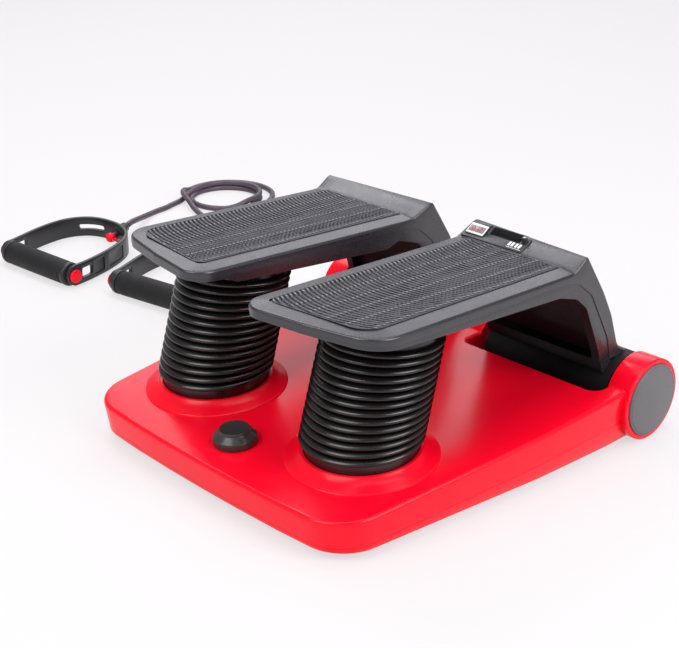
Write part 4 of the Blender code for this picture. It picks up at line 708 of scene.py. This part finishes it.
def lip_grid(shape, band):
    """Rows of points across the lip and the leg's back; the first is the end of both rims."""
    line = lip_line()
    last = len(line) - 1
    grid = []
    for index, here in enumerate(line):
        ahead = line[min(index + 1, last)] - line[max(index - 1, 0)]
        square = Vector((-ahead.y, ahead.x)).normalized()
        fade = 1 - eased(here.x, RIM_END, 0.1)
        sunk = here.x < BED_END

        def corner(x, depth):
            spot = here - square * (edge_drop(depth, fade) + sunk * bed(depth))
            return shape.verts.new((x, pushed(x, spot.x, spot.y), spot.y))

        right = [corner(PEDAL_HALF - d, d) for d in RIM_DEPTHS] if index else band[0]
        field = [corner(x * 0.0085, 0.03) for x in range(6, -7, -1)]
        left = [corner(d - PEDAL_HALF, d) for d in RIM_DEPTHS[::-1]] if index else band[-1][::-1]
        grid.append([*right, *field, *left])
    return grid


def side_walls(shape, edge_line, band, grid):
    """Walls from the upper faces down to the seam, and the face that closes them below."""
    seam = rounded(SEAM, 6, closed=False)
    start = Vector((RIM_END, at_y(seam, RIM_END)))
    line = resampled([start] + [p for p in seam if p.x > RIM_END], ROW_SPACING)
    right, left = [], []
    for index in range(len(grid)):
        place = index / (len(grid) - 1) * (len(line) - 1)
        k = min(int(place), len(line) - 2)
        spot = line[k].lerp(line[k + 1], place - k)
        for x, side in ((PEDAL_HALF, right), (-PEDAL_HALF, left)):
            side.append(shape.verts.new((x, spot.x, spot.y + GAP / 2)))
    low_band = [shape.verts.new((p.x, p.y, at_y(seam, p.y) + GAP / 2)) for p in edge_line[1:-1]]
    low_band = [right[0], *low_band, left[0]]
    skin(shape, [[row[0] for row in band], low_band])
    skin(shape, [[row[0] for row in grid], right, left, [row[-1] for row in grid]])
    shape.faces.new(low_band)
    shape.faces.new([*grid[-1], left[-1], right[-1]])


def pedal_top_mesh():
    """Upper shell: sloping rims round the tread, the raised lip, and the back of the leg."""
    plan = rounded(pedal_plan(0.0, RIM_END), 24, closed=False)
    edge_line = resampled(plan[::-1], 0.0022)
    shape = bmesh.new()
    band = rim_band(shape, edge_line)
    grid = lip_grid(shape, band)
    skin(shape, band)
    skin(shape, grid)
    field_end = grid[0][len(RIM_DEPTHS):-len(RIM_DEPTHS)]
    shape.faces.new([row[-1] for row in band] + field_end[::-1])
    side_walls(shape, edge_line, band, grid)
    bmesh.ops.remove_doubles(shape, verts=shape.verts, dist=0.000005)
    return mesh_from(shape)


def sided(mesh, sign):
    """Mesh as made for the right side, or its mirror image for the left."""
    if sign < 0:
        mesh.transform(Matrix.Scale(-1.0, 4, (1.0, 0.0, 0.0)))
        mesh.flip_normals()
    return mesh


def underside_mesh():
    """Lower shell: its side walls, the leg with its hollow, and the barrel round the hinge."""
    mesh = placed(slab(rounded([*LOWER, *reversed(SEAM)], 8), -0.08, 0.08), ALONG_X)
    mesh = cut(mesh, inner_skirt(), "UNION")
    mesh = cut(mesh, slab(rounded(pedal_plan(0.0006), 16), -0.1, 0.3), "INTERSECT")
    mesh = bevelled(mesh, 0.0016, 3, 40.0)
    hollow = slab(rounded(POCKET, 8), -POCKET_HALF, POCKET_HALF, 0.003)
    mesh = cut(mesh, placed(hollow, ALONG_X))
    mesh = cut(mesh, disc(BARREL_RADIUS, -0.0718, 0.0817, HUB, 96, 0.0012), "UNION")
    return cut(mesh, disc(0.0123, -0.15, 0.15, HUB, 48))


def make_pedal(side, sign):
    place = pedal_place(side)
    body = f"{side}_pedal"
    top, lower = pedal_top_mesh(), underside_mesh()
    if side == "right":
        top, lower = cut(top, counter_hollow()), cut(lower, counter_hollow())
    show(f"{side}_upper_shell", sided(top, sign), PEDAL, body, [f"{side}_pedal_top"], place, 28.0)
    shell = show(f"{side}_lower_shell", sided(lower, sign), PEDAL, body,
                 [f"{side}_pedal_underside"], smooth=28.0)
    paint_inside_shade(shell.data)
    shell.data.transform(place)
    tread = show(f"{side}_tread", sided(tread_mesh(-0.007 * sign), sign), TREAD, body,
                 [f"{side}_tread_pad"], smooth=50.0)
    paint_groove_shade_and_stud_highlight(tread.data)
    tread.data.transform(place)


def inner_skirt():
    """Strip that makes the inner side wall of the underside deeper than the outer one."""
    low = [Vector(point[:2]) for point in LOWER]
    line = ((-0.16, 0.002), (-0.145, -0.005), (0.05, -0.0062), (0.069, 0.002))
    strip = [Vector((y, at_y(low, y) + rise)) for y, rise in line]
    return placed(slab(strip, -0.073, -0.0675), ALONG_X)


def paint_groove_shade_and_stud_highlight(mesh):
    """Grooves get darker rubber, a painted shade; stud tops lighter, a painted highlight."""
    mesh.materials.append(TREAD_GROOVE_SHADE)
    mesh.materials.append(TREAD_STUD_HIGHLIGHT)
    for face in mesh.polygons:
        height = face.center.z - pedal_top_z(face.center.y) - TREAD_RISE
        if height < GROOVE_SHADE_BELOW:
            face.material_index = 1
        elif height > STUD_HIGHLIGHT_ABOVE:
            face.material_index = 2


def paint_inside_shade(mesh):
    """Painted shade: darker plastic on the leg's hollow, the arch's underside and the barrel."""
    mesh.materials.append(HOLLOW_SHADE)
    hollow = inset(rounded(POCKET, 8), -2 * GAP)
    for face in mesh.polygons:
        spot = Vector((face.center.y, face.center.z))
        on_barrel = (spot - Vector((HUB_Y, HUB_Z))).length < BARREL_RADIUS + GAP
        under_arch = spot.x > ARCH_START and min(face.normal.y, face.normal.z) < FACES_DOWN
        in_pocket = abs(face.center.x) < POCKET_HALF + GAP and inside(spot, hollow)
        if on_barrel or under_arch or in_pocket:
            face.material_index = 1


def inside(point, outline):
    """Whether a point lies within a closed outline."""
    crossings = 0
    for k in range(len(outline)):
        a, b = outline[k - 1], outline[k]
        if (a.y > point.y) != (b.y > point.y):
            crossings += point.x < a.x + (b.x - a.x) * (point.y - a.y) / (b.y - a.y)
    return crossings % 2 == 1


def tread_start(x):
    """Where the tread's heel end lies at an x, with a small inner and a large outer corner."""
    start = TREAD_HEEL + TREAD_SLANT * x
    for out, radius in zip((-x, x), TREAD_CORNERS):
        past = out - (TREAD_HALF - radius)
        if past > 0.0:
            start += radius - math.sqrt(max(0.0, radius ** 2 - past ** 2))
    return start


def tread_columns():
    """Where its columns of points lie: close together at the edges and studs, wider between."""
    from_edge = (0.0, 0.0002, 0.0006, 0.0012, 0.002, 0.0032, 0.0048, 0.0068, 0.0092)
    from_stud = (-0.0024, -0.0014, -0.0007, 0.0, 0.0007, 0.0014, 0.0024)
    plain = (0.0, 0.0035, 0.0065, 0.0155, 0.0185, 0.0215, 0.0245, 0.0355, 0.0385, 0.0415)
    columns = sorted({*plain, *(TREAD_HALF - a for a in from_edge),
                      *(row + a for row in STUD_ROWS for a in from_stud)})
    columns = [x for k, x in enumerate(columns) if k == 0 or x - columns[k - 1] > 0.0001]
    return [-x for x in reversed(columns) if x > 0.0] + columns


def tread_height(x, y, rim, middle):
    """Height over the pedal's top plane, at a distance from the tread's own rim."""
    across = y - (x - middle) ** 2 / (2 * RIB_BOW)
    wave = 0.5 - 0.5 * math.cos(2 * math.pi * across / RIB_PITCH)
    stud = max(0.0, 1 - min(abs(abs(x) - row) for row in STUD_ROWS) / STUD_HALF)
    stud = eased(stud, 0.0, 0.7) * eased(wave, 0.45, 0.8)
    rise = RIB_HEIGHT * (eased(wave, 0.12, 0.62) - 1) + STUD_HEIGHT * stud
    return TREAD_RISE + rise * eased(rim, 0.0004, 0.0016) - 0.0004 * (1 - eased(rim, 0.0, 0.0006))


def tread_mesh(middle):
    """Tread pad with ribs arched about a middle, and rows of small studs along it."""
    count = round((TREAD_TOE - TREAD_HEEL) / 0.00055)
    shape = bmesh.new()
    grid = []
    for x in tread_columns():
        start = tread_start(x)
        line = []
        for k in range(count + 1):
            y = start + (TREAD_TOE - start) * k / count
            rim = min(y - start, TREAD_TOE - y, TREAD_HALF - abs(x))
            z = pedal_top_z(y) + tread_height(x, y, rim, middle)
            line.append(shape.verts.new((x, y, z)))
        grid.append(line)
    skin(shape, grid)
    border = [line[0] for line in grid] + grid[-1][1:] + [line[-1] for line in grid[-2::-1]]
    border += grid[0][-2:0:-1]
    below = [shape.verts.new((v.co.x, v.co.y, pedal_top_z(v.co.y) - 0.001)) for v in border]
    skin(shape, [[*border, border[0]], [*below, below[0]]])
    shape.faces.new(below)
    return mesh_from(shape)


# Step counter

def counter_hollow():
    outline = rounded([(-0.0683, 0.0869, 0.001), (0.0073, 0.0869, 0.001), (0.0073, 0.104, 0.006),
                       (-0.001, 0.1099, 0.004), (-0.0683, 0.1099, 0.001)], 6)
    return slab(outline, 0.181, 0.21)


def make_counter():
    """Black insert with a sunk middle, a wedge display on the inner side and a button."""
    place = pedal_place("right")
    outline = rounded([(-0.068, 0.0872, 0.001), (0.007, 0.0872, 0.001), (0.007, 0.104, 0.006),
                       (-0.0013, 0.1096, 0.004), (-0.068, 0.1096, 0.001)], 6)
    case = slab(outline, 0.1852, 0.1972, 0.0003, 2)
    above = rounded([(0.08, 0.1885), (0.088, 0.1885, 0.004), (0.0985, 0.1932, 0.006),
                     (0.104, 0.1968), (0.115, 0.1985), (0.115, 0.23), (0.08, 0.23)], 6)
    case = cut(case, placed(slab(above, -0.09, 0.09), ALONG_X))
    case = cut(case, slab(rectangle((-0.0405, 0.0972), (-0.003, 0.108), 0.0015, 5), 0.1888, 0.21))
    show("counter_body", bevelled(case, 0.0003, 2, 40.0), DARK, "right_pedal", ["counter_case"],
         place)
    make_display(place)
    make_marks(place)


# Which bars of each digit are lit, and each bar's middle and whether it lies flat
DIGITS = ((1, 1, 1, 0, 1, 1, 1), (0, 0, 1, 0, 0, 1, 0), (1, 0, 1, 1, 1, 0, 1))
BARS = ((0, 0.0024, 1), (-0.0012, 0.0012, 0), (0.0012, 0.0012, 0), (0, 0.0, 1),
        (-0.0012, -0.0012, 0), (0.0012, -0.0012, 0), (0, -0.0024, 1))
BAR_LENGTH, BAR_WIDTH, DIGIT_PITCH = 0.0011, 0.00036, 0.0046


def make_display(place):
    """Wedge display module with a white face plate and three digits."""
    back, front = (0.103, 0.1984), (0.0905, 0.1903)
    side = [(0.0905, 0.188, 0.0004), (0.1066, 0.188, 0.0004), (0.1066, 0.1984, 0.0006),
            (*back, 0.001), (*front, 0.0006)]
    body = placed(slab(rounded(side, 4), -0.0655, -0.0435, 0.0004, 2), ALONG_X)
    show("display_body", body, DARK, "right_pedal", ["counter_display"], place)
    lean = math.atan2(back[1] - front[1], back[0] - front[0])
    face = place @ at(-0.0545, 0.09675, 0.19435) @ turned(lean, "X")
    outline = rectangle((-0.0106, -0.0066), (0.0106, 0.0058), 0.0008)
    plate = slab(outline, -0.0002, 0.00045, 0.0002, 2)
    show("display_window", plate, WHITE, "right_pedal", (), face)
    outline = rectangle((-0.0094, -0.0044), (0.0094, 0.0034), 0.0006)
    glass = slab(outline, 0.0003, 0.00055, 0.0001, 2)
    show("display_glass", glass, GLASS, "right_pedal", (), face)
    bars = []
    for number, lit in enumerate(DIGITS, -1):
        for (x, y, flat), shown in zip(BARS, lit):
            if shown:
                w, h = (BAR_LENGTH, BAR_WIDTH) if flat else (BAR_WIDTH, BAR_LENGTH)
                x, y = x + number * DIGIT_PITCH, y - 0.0005
                bars.append(block((x - w, y - h, 0.0004), (x + w, y + h, 0.00068)))
    show("display_digits", joined(bars), DIGIT, "right_pedal", (), face)


def make_marks(place):
    """White index plate with plain bars beside the button, and the button with its dome."""
    lean = math.atan2(0.1932 - 0.1885, 0.0985 - 0.088)
    face = place @ at(0.0008, 0.093, 0.19085) @ turned(lean, "X")
    bars = [block((x - 0.0012, -0.002, -0.0003), (x + 0.0012, 0.0036, 0.00025))
            for x in (-0.0124, -0.0086, -0.004, -0.0002)]
    bars.append(block((-0.014, -0.004, -0.0003), (0.0034, -0.0035, 0.00025)))
    show("counter_marks", joined(bars), WHITE, "right_pedal", (), face)
    button = lathe([(0.0, 0.0019), (0.0029, 0.0017, 0.0007), (0.003, -0.007), (0.0, -0.007)], 40)
    spot = place @ at(0.001, 0.1, 0.1972)
    show("reset_cap", button, DARK, "reset_button", ["counter_button"], spot)
    dome = lathe([(0.0, 0.0026), (0.0011, 0.0022, 0.0005), (0.0013, 0.0012), (0.0, 0.0012)], 32)
    show("reset_dome", dome, WHITE, "reset_button", (), spot)


# Hand grips

YOKE_PATH = ((-0.0675, -0.01), (-0.0675, 0.006), (-0.072, 0.025), (-0.0775, 0.046),
             (-0.0815, 0.066), (-0.0835, 0.086), (-0.0825, 0.104), (-0.076, 0.12), (-0.064, 0.133),
             (-0.045, 0.14), (-0.0166, 0.1405), (0.008, 0.133), (0.028, 0.118), (0.042, 0.098),
             (0.053, 0.072), (0.06, 0.048), (0.065, 0.025), (0.0675, 0.006), (0.0675, -0.01))
YOKE_THICKNESS, YOKE_HALF_WIDTH, YOKE_END = 0.005, 0.0135, 0.0675
# Place, lean in degrees, half length and half height of each opening through the yoke
YOKE_WINDOWS = ((-0.0714, 0.0225, 13.3, 0.01, 0.0065), (0.0653, 0.0215, 7.5, 0.0095, 0.0065),
                (-0.061, 0.1345, -59.3, 0.0185, 0.0035))
YOKE_POCKETS = ((0.0607, 0.044, 13.5, 0.011, 0.009), (0.0492, 0.081, 21.5, 0.019, 0.009))
SLEEVE_HALF, SLEEVE_BORE, BAND_WIDTH, BAND_BORE = 0.063, 0.0078, 0.0063, 0.008
BALL_RADIUS, BALL_DEPTH = 0.0065, 0.0215
STEM_REACH = 0.03
NOSE = Matrix.Translation(APEX) @ APEX_DIRECTION.to_track_quat("Z", "Y").to_matrix().to_4x4()


def handle_place(index):
    spot, angle = HANDLES[index - 1]
    return at(spot[0] + UNIT_X, spot[1], GRIP_RADIUS + GAP) @ turned(angle, "Z")


def yoke_opening(x, y, lean, reach, high, start):
    """Rounded cutter square to the yoke's flat, from a depth out past its outer face."""
    window = slab(rectangle((-high, -reach), (high, reach), 0.0028, 6), start, 0.012)
    return placed(window, at(x, y) @ turned(math.radians(lean), "Z") @ turned(math.pi / 2, "Y"))


def yoke_mesh():
    """Flat strap bent to a D, with its round ends, its nose for the tube and its openings."""
    centre = smooth_path([Vector(p) for p in YOKE_PATH], 0.003)
    last = len(centre) - 1
    sides = []
    for k, here in enumerate(centre):
        ahead = centre[min(k + 1, last)] - centre[max(k - 1, 0)]
        out = Vector((ahead.y, -ahead.x)).normalized() * YOKE_THICKNESS / 2
        sides.append((here + out, here - out))
    outline = [outer for outer, _ in sides] + [inner for _, inner in reversed(sides)]
    yoke = slab(outline, -YOKE_HALF_WIDTH, YOKE_HALF_WIDTH, 0.0012, 3)
    round_end = disc(YOKE_HALF_WIDTH, -0.1, 0.1, at(0.0, 0.0035) @ ALONG_X)
    yoke = cut(yoke, cut(block((-0.09, -0.02, -0.02), (0.09, 0.0035, 0.02)), round_end))
    nose = lathe([(0.0, 0.024), (0.0066, 0.024, 0.0015), (0.0085, 0.008, 0.02),
                  (0.0085, -0.004, 0.001), (0.0, -0.004)], 40)
    yoke = cut(yoke, placed(nose, NOSE), "UNION")
    yoke = cut(yoke, disc(TUBE_RADIUS, -0.03, 0.03, NOSE, 32))
    for openings, start in ((YOKE_WINDOWS, -0.012), (YOKE_POCKETS, 0.001)):
        for opening in openings:
            yoke = cut(yoke, yoke_opening(*opening, start))
    return bevelled(yoke, 0.0004, 2, 40.0)


def make_grip(index, place):
    """Foam sleeve with its end bands, and the red plugs at both ends of its core."""
    wide, half = GRIP_RADIUS, SLEEVE_HALF
    foam = half - BAND_WIDTH - GAP
    corners = [(wide - 0.0009, foam, 0.0009), (wide - 0.0001, half - 0.012, 0.006), (wide, 0.0),
               (wide - 0.0001, 0.012 - half, 0.006), (wide - 0.0009, -foam, 0.0009),
               (SLEEVE_BORE, -foam), (SLEEVE_BORE, foam)]
    grip = show(f"foam_grip_{index}", lathe(corners, 72, 4, ring=True), FOAM, f"grip_{index}",
                [f"handle_{index}_grip"], place @ ALONG_X, 40.0)
    for end, sign in (("right", 1), ("left", -1)):
        band = lathe([(wide, -BAND_WIDTH, 0.0008), (wide, 0.0, 0.002), (BAND_BORE, 0.0),
                      (BAND_BORE, -BAND_WIDTH)], 72, 4, ring=True)
        show(f"grip_band_{index}_{end}", band, DARK, f"grip_{index}", (),
             place @ at(sign * half, 0.0) @ facing(sign))
        plug = lathe([(0.0, 0.003), (0.0045, 0.0029), (0.0062, 0.003, 0.0003),
                      (0.0082, 0.0027, 0.0008), (0.0085, 0.0, 0.0003), (0.0027, 0.0),
                      (0.0027, -0.012), (0.0, -0.012)])
        reach = YOKE_END + YOKE_THICKNESS / 2 + 0.001 + GAP
        show(f"red_plug_{index}_{end}", plug, RED, "base", [f"handle_{index}_plug_{end}"],
             place @ at(sign * reach, 0.0) @ facing(sign))


def make_stop_ball(index, place):
    """Red ball on the tube inside the yoke with two short strands, and the tube's own end."""
    arc = [(BALL_RADIUS * math.sin(a), BALL_RADIUS * math.cos(a) - BALL_DEPTH)
           for a in map(math.radians, range(10, 180, 10))]
    low, high = (0.0, -BALL_RADIUS - BALL_DEPTH), (0.0, BALL_RADIUS - BALL_DEPTH)
    ball = lathe([high, *arc, low], 40)
    parts = [placed(ball, NOSE)]
    for degrees, length in ((4.0, 0.021), (-24.0, 0.0165)):
        strand = lathe([(0.0, 0.0), (0.001, 0.0), (0.0009, length, 0.0007), (0.0, length)], 16)
        parts.append(placed(strand, Matrix.Translation(APEX - APEX_DIRECTION * BALL_DEPTH)
                            @ turned(math.radians(degrees), "Z") @ ALONG_X))
    show(f"stop_ball_{index}", joined(parts), RED, "base", [f"handle_{index}_stop_ball"], place,
         50.0)
    stem = lathe([(0.0, STEM_REACH), (0.0035, STEM_REACH, 0.0005), (0.0034, -0.016, 0.0005),
                  (0.0, -0.016)], 32)
    show(f"tube_stem_{index}", stem, TUBE, "base", (), place @ NOSE, 50.0)


def make_handle(index):
    place = handle_place(index)
    show(f"yoke_{index}", yoke_mesh(), DARK, "base", [f"handle_{index}_yoke"], place)
    make_grip(index, place)
    make_stop_ball(index, place)


# Stretch tubes

COIL_START, COIL_STEP, COIL_LIFT = 40, 20, 0.0082
# Each route has (x, y) points on the floor and (x, y, z) points above it: from the anchor to the
# coil, then the coil with its last angle and the angles where it climbs over itself, then on
ROUTES = (
    (((-0.01, 0.2211, 0.045), (-0.01, 0.246, 0.0448), (-0.015, 0.274, 0.033),
      (-0.038, 0.298, 0.01), (-0.08, 0.306), (-0.15, 0.304), (-0.25, 0.306), (-0.36, 0.314),
      (-0.47, 0.322), (-0.535, 0.323), (-0.57, 0.329), (-0.595, 0.345), (-0.6085, 0.366)),
     (INNER_COIL, 540, 320, 370),
     ((-0.704, 0.332, 0.0105), (-0.6965, 0.308, 0.006), (-0.69, 0.293), (-0.683, 0.27),
      (-0.679, 0.258), (-0.673, 0.228), (-0.656, 0.199, 0.009))),
    (((0.01, 0.2211, 0.045), (0.01, 0.246, 0.0448), (0.007, 0.282, 0.031), (-0.01, 0.312, 0.01),
      (-0.055, 0.324), (-0.14, 0.324), (-0.25, 0.334), (-0.36, 0.348), (-0.48, 0.364),
      (-0.53, 0.36), (-0.565, 0.359), (-0.588, 0.37), (-0.601, 0.388)),
     (OUTER_COIL, 240, 200, 230),
     ((-0.669, 0.292, 0.0105), (-0.64, 0.281, 0.006), (-0.6, 0.269), (-0.55, 0.256),
      (-0.508, 0.239), (-0.486, 0.224, 0.01))))


def stem_end(index):
    """Where the tube leaves the nose of its grip, and in which direction."""
    spot, angle = HANDLES[index - 1]
    turn = Matrix.Rotation(angle, 3, "Z")
    base = Vector((spot[0], spot[1], GRIP_RADIUS + GAP))
    return base + turn @ (APEX + APEX_DIRECTION * (STEM_REACH + 2 * GAP)), turn @ APEX_DIRECTION


def coil_points(coil, last, climb, over):
    centre, radius = coil
    points = []
    for degrees in range(COIL_START, last + 1, COIL_STEP):
        angle = math.radians(degrees)
        points.append(Vector((centre.x + radius * math.cos(angle),
                              centre.y + radius * math.sin(angle),
                              TUBE_Z + COIL_LIFT * eased(degrees, climb, over))))
    return points


def tube_route(index):
    """Evenly spaced points of a tube, from its anchor on the base to the nose of its grip."""
    before, coil, after = ROUTES[index - 1]
    before, after = ([Vector(p if len(p) == 3 else (*p, TUBE_Z)) for p in part]
                     for part in (before, after))
    end, leave = stem_end(index)
    route = before + coil_points(*coil) + after + [end + leave * 0.016, end]
    points = smooth_path([shifted(p) for p in route], 0.006)
    for point in points:
        point.z = max(point.z, TUBE_Z)
    return points


def make_tube(index):
    """One stretch tube: its object, its points and its length."""
    name, points = f"stretch_tube_{index}", tube_route(index)
    curve = bpy.data.curves.new(name, "CURVE")
    curve.dimensions = "3D"
    curve.bevel_depth = TUBE_RADIUS
    curve.bevel_resolution = 5
    curve.use_fill_caps = True
    spline = curve.splines.new("POLY")
    spline.points.add(len(points) - 1)
    for point, spot in zip(spline.points, points):
        point.co = (*spot, 1.0)
    spline.use_smooth = True
    curve.materials.append(TUBE)
    tube = add_item(name, curve)
    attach(tube, "base")
    nodes = [f"tube_{index}_base_run", f"tube_{index}_handle_run"]
    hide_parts(*(nodes + ["tube_coil"] if index == 1 else nodes))
    return tube, points, sum((b - a).length for a, b in zip(points, points[1:]))


# Carried-over nodes and small hardware

NODE_LOOKS = {"hinge_shaft": STEEL, "valve_block": BRASS, "valve_spindle": BRASS,
              "counter_board": GREEN, "counter_cell": STEEL, "rubber_foot": RUBBER,
              "air_hose": RUBBER, "base_screw": STEEL, "shaft_clip": STEEL}


def dress_nodes():
    """Materials of the nodes that keep their own shape."""
    for name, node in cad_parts.items():
        look = WHITE if "bush" in name or name.endswith("core") else DARK
        for start, its_look in NODE_LOOKS.items():
            if name.startswith(start):
                look = its_look
        node.data.materials.clear()
        node.data.materials.append(look)
    for name in ("right_bellows_plate", "left_bellows_plate"):
        soften(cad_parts[name], 0.001, 3)


def make_small_parts():
    """Screws with crossed slots, hollow feet, and the sleeves that hold the tubes' ends."""
    corners = ((0.12, -0.195), (-0.12, -0.195), (0.12, 0.095), (-0.12, 0.095))
    for index, (x, y) in enumerate(corners, 1):
        tip = min(deck_z(y) - 0.006, 0.032)
        head = lathe([(0.0, 0.0057), (0.0029, 0.0058, 0.0006), (0.0036, 0.0077), (0.0013, 0.0077),
                      (0.0013, tip - 0.002), (0.0, tip)], 32)
        for angle in (0.0, math.pi / 2):
            slot = block((-0.002, -0.00035, 0.004), (0.002, 0.00035, 0.007))
            head = cut(head, placed(slot, turned(angle, "Z")))
        show(f"screw_{index}", head, STEEL, "base", [f"base_screw_{index}"], at(x + UNIT_X, y))
    spots = ((0.15, -0.18, 0.011), (0.178, 0.095, 0.009))
    feet = [(sign * x, y, radius) for x, y, radius in spots for sign in (1, -1)]
    for index, (x, y, radius) in enumerate(feet, 1):
        foot = lathe([(0.0, 0.0077), (radius, 0.0077), (radius, 0.0012, 0.0008),
                      (radius - 0.0012, 0.0, 0.0006), (radius - 0.004, 0.0, 0.0003),
                      (radius - 0.0046, 0.0008, 0.0003), (0.0, 0.0008)], 48)
        show(f"foot_{index}", foot, RUBBER, "base", [f"rubber_foot_{index}"], at(x + UNIT_X, y))
    for index, sign in ((1, -1), (2, 1)):
        sleeve = lathe([(0.0, 0.0112), (0.0055, 0.0112, 0.0008), (0.0085, 0.005, 0.002),
                        (0.0085, 0.0, 0.0004), (0.0, 0.0)], 48)
        sleeve = cut(sleeve, disc(0.0041, 0.0105, 0.02, sides=40))
        show(f"tube_ferrule_{index}", sleeve, DARK, "base", [f"tube_anchor_{index}"],
             at(sign * 0.01 + UNIT_X, 0.209 + GAP, 0.045) @ turned(-math.pi / 2, "X"))


# Floor and light

WHITE_SHARE = 0.66
FLOOR_HALF = 14.0
# Name, place, what it points at, width, height, power and colour
LAMPS = (("key", (0.1, -1.9, 1.8), (0.2, 0.0, 0.05), 1.6, 1.6, 38.0, (1.0, 0.99, 0.98)),
         ("top", (0.3, 0.2, 2.4), (0.25, 0.0, 0.15), 1.6, 1.6, 22.0, (0.97, 0.96, 1.0)),
         ("side", (2.1, 0.3, 1.4), (0.3, 0.0, 0.1), 1.4, 1.4, 38.0, (1.0, 0.98, 0.98)),
         ("back", (-1.73, 2.01, 1.55), (0.2, 0.0, 0.15), 2.6, 1.4, 22.0, (0.93, 0.92, 1.0)),
         ("left", (-1.5, 0.42, 2.25), (0.2, 0.0, 0.15), 1.0, 1.1, 20.0, (0.96, 0.95, 1.0)))


def make_floor():
    """Floor that the camera and reflections see partly as plain white, with soft shadows."""
    mesh = bpy.data.meshes.new("floor")
    corners = rectangle((-FLOOR_HALF, -FLOOR_HALF), (FLOOR_HALF, FLOOR_HALF))
    mesh.from_pydata([(*corner, 0.0) for corner in corners], [], [(0, 1, 2, 3)])
    item = add_item("floor", mesh)
    material = bpy.data.materials.new("floor_white")
    material.use_nodes = True
    tree = material.node_tree
    matt = tree.nodes["Principled BSDF"]
    feed(tree, matt, {"Base Color": (0.68, 0.66, 0.672, 1.0), "Roughness": 0.85,
                      "Specular IOR Level": 0.1})
    white = add_node(tree, "ShaderNodeEmission", {"Color": (0.975, 0.96, 0.97, 1.0)})
    rays = add_node(tree, "ShaderNodeLightPath").outputs
    seen = math_of(tree, "ADD", rays["Is Camera Ray"], rays["Is Glossy Ray"])
    seen = math_of(tree, "ADD", seen, rays["Is Transmission Ray"], clamp=True)
    blend = add_node(tree, "ShaderNodeMixShader", {
        "Fac": math_of(tree, "MULTIPLY", seen, WHITE_SHARE), 1: matt.outputs["BSDF"],
        2: white.outputs["Emission"]})
    feed(tree, tree.nodes["Material Output"], {"Surface": blend.outputs["Shader"]})
    mesh.materials.append(material)


def make_light():
    world = bpy.data.worlds.new("world")
    world.use_nodes = True
    bpy.context.scene.world = world
    tree = world.node_tree
    feed(tree, tree.nodes["Background"], {"Color": (0.98, 0.98, 1.0, 1.0), "Strength": 0.34})
    for name, place, target, width, height, power, tint in LAMPS:
        data = bpy.data.lights.new(name, "AREA")
        data.shape = "RECTANGLE"
        data.size, data.size_y = width, height
        data.energy = power
        data.color = tint
        light = add_item(name, data)
        light.location = place
        aim = Vector(target) - light.location
        light.rotation_euler = aim.to_track_quat("-Z", "Y").to_euler()


make_camera()
TUBES = [make_tube(1), make_tube(2)]
dress_nodes()
make_base()
make_knob()
make_pedal("right", 1)
make_pedal("left", -1)
make_counter()
make_handle(1)
make_handle(2)
make_small_parts()
make_floor()
make_light()
bpy.context.scene.view_settings.view_transform = "Standard"
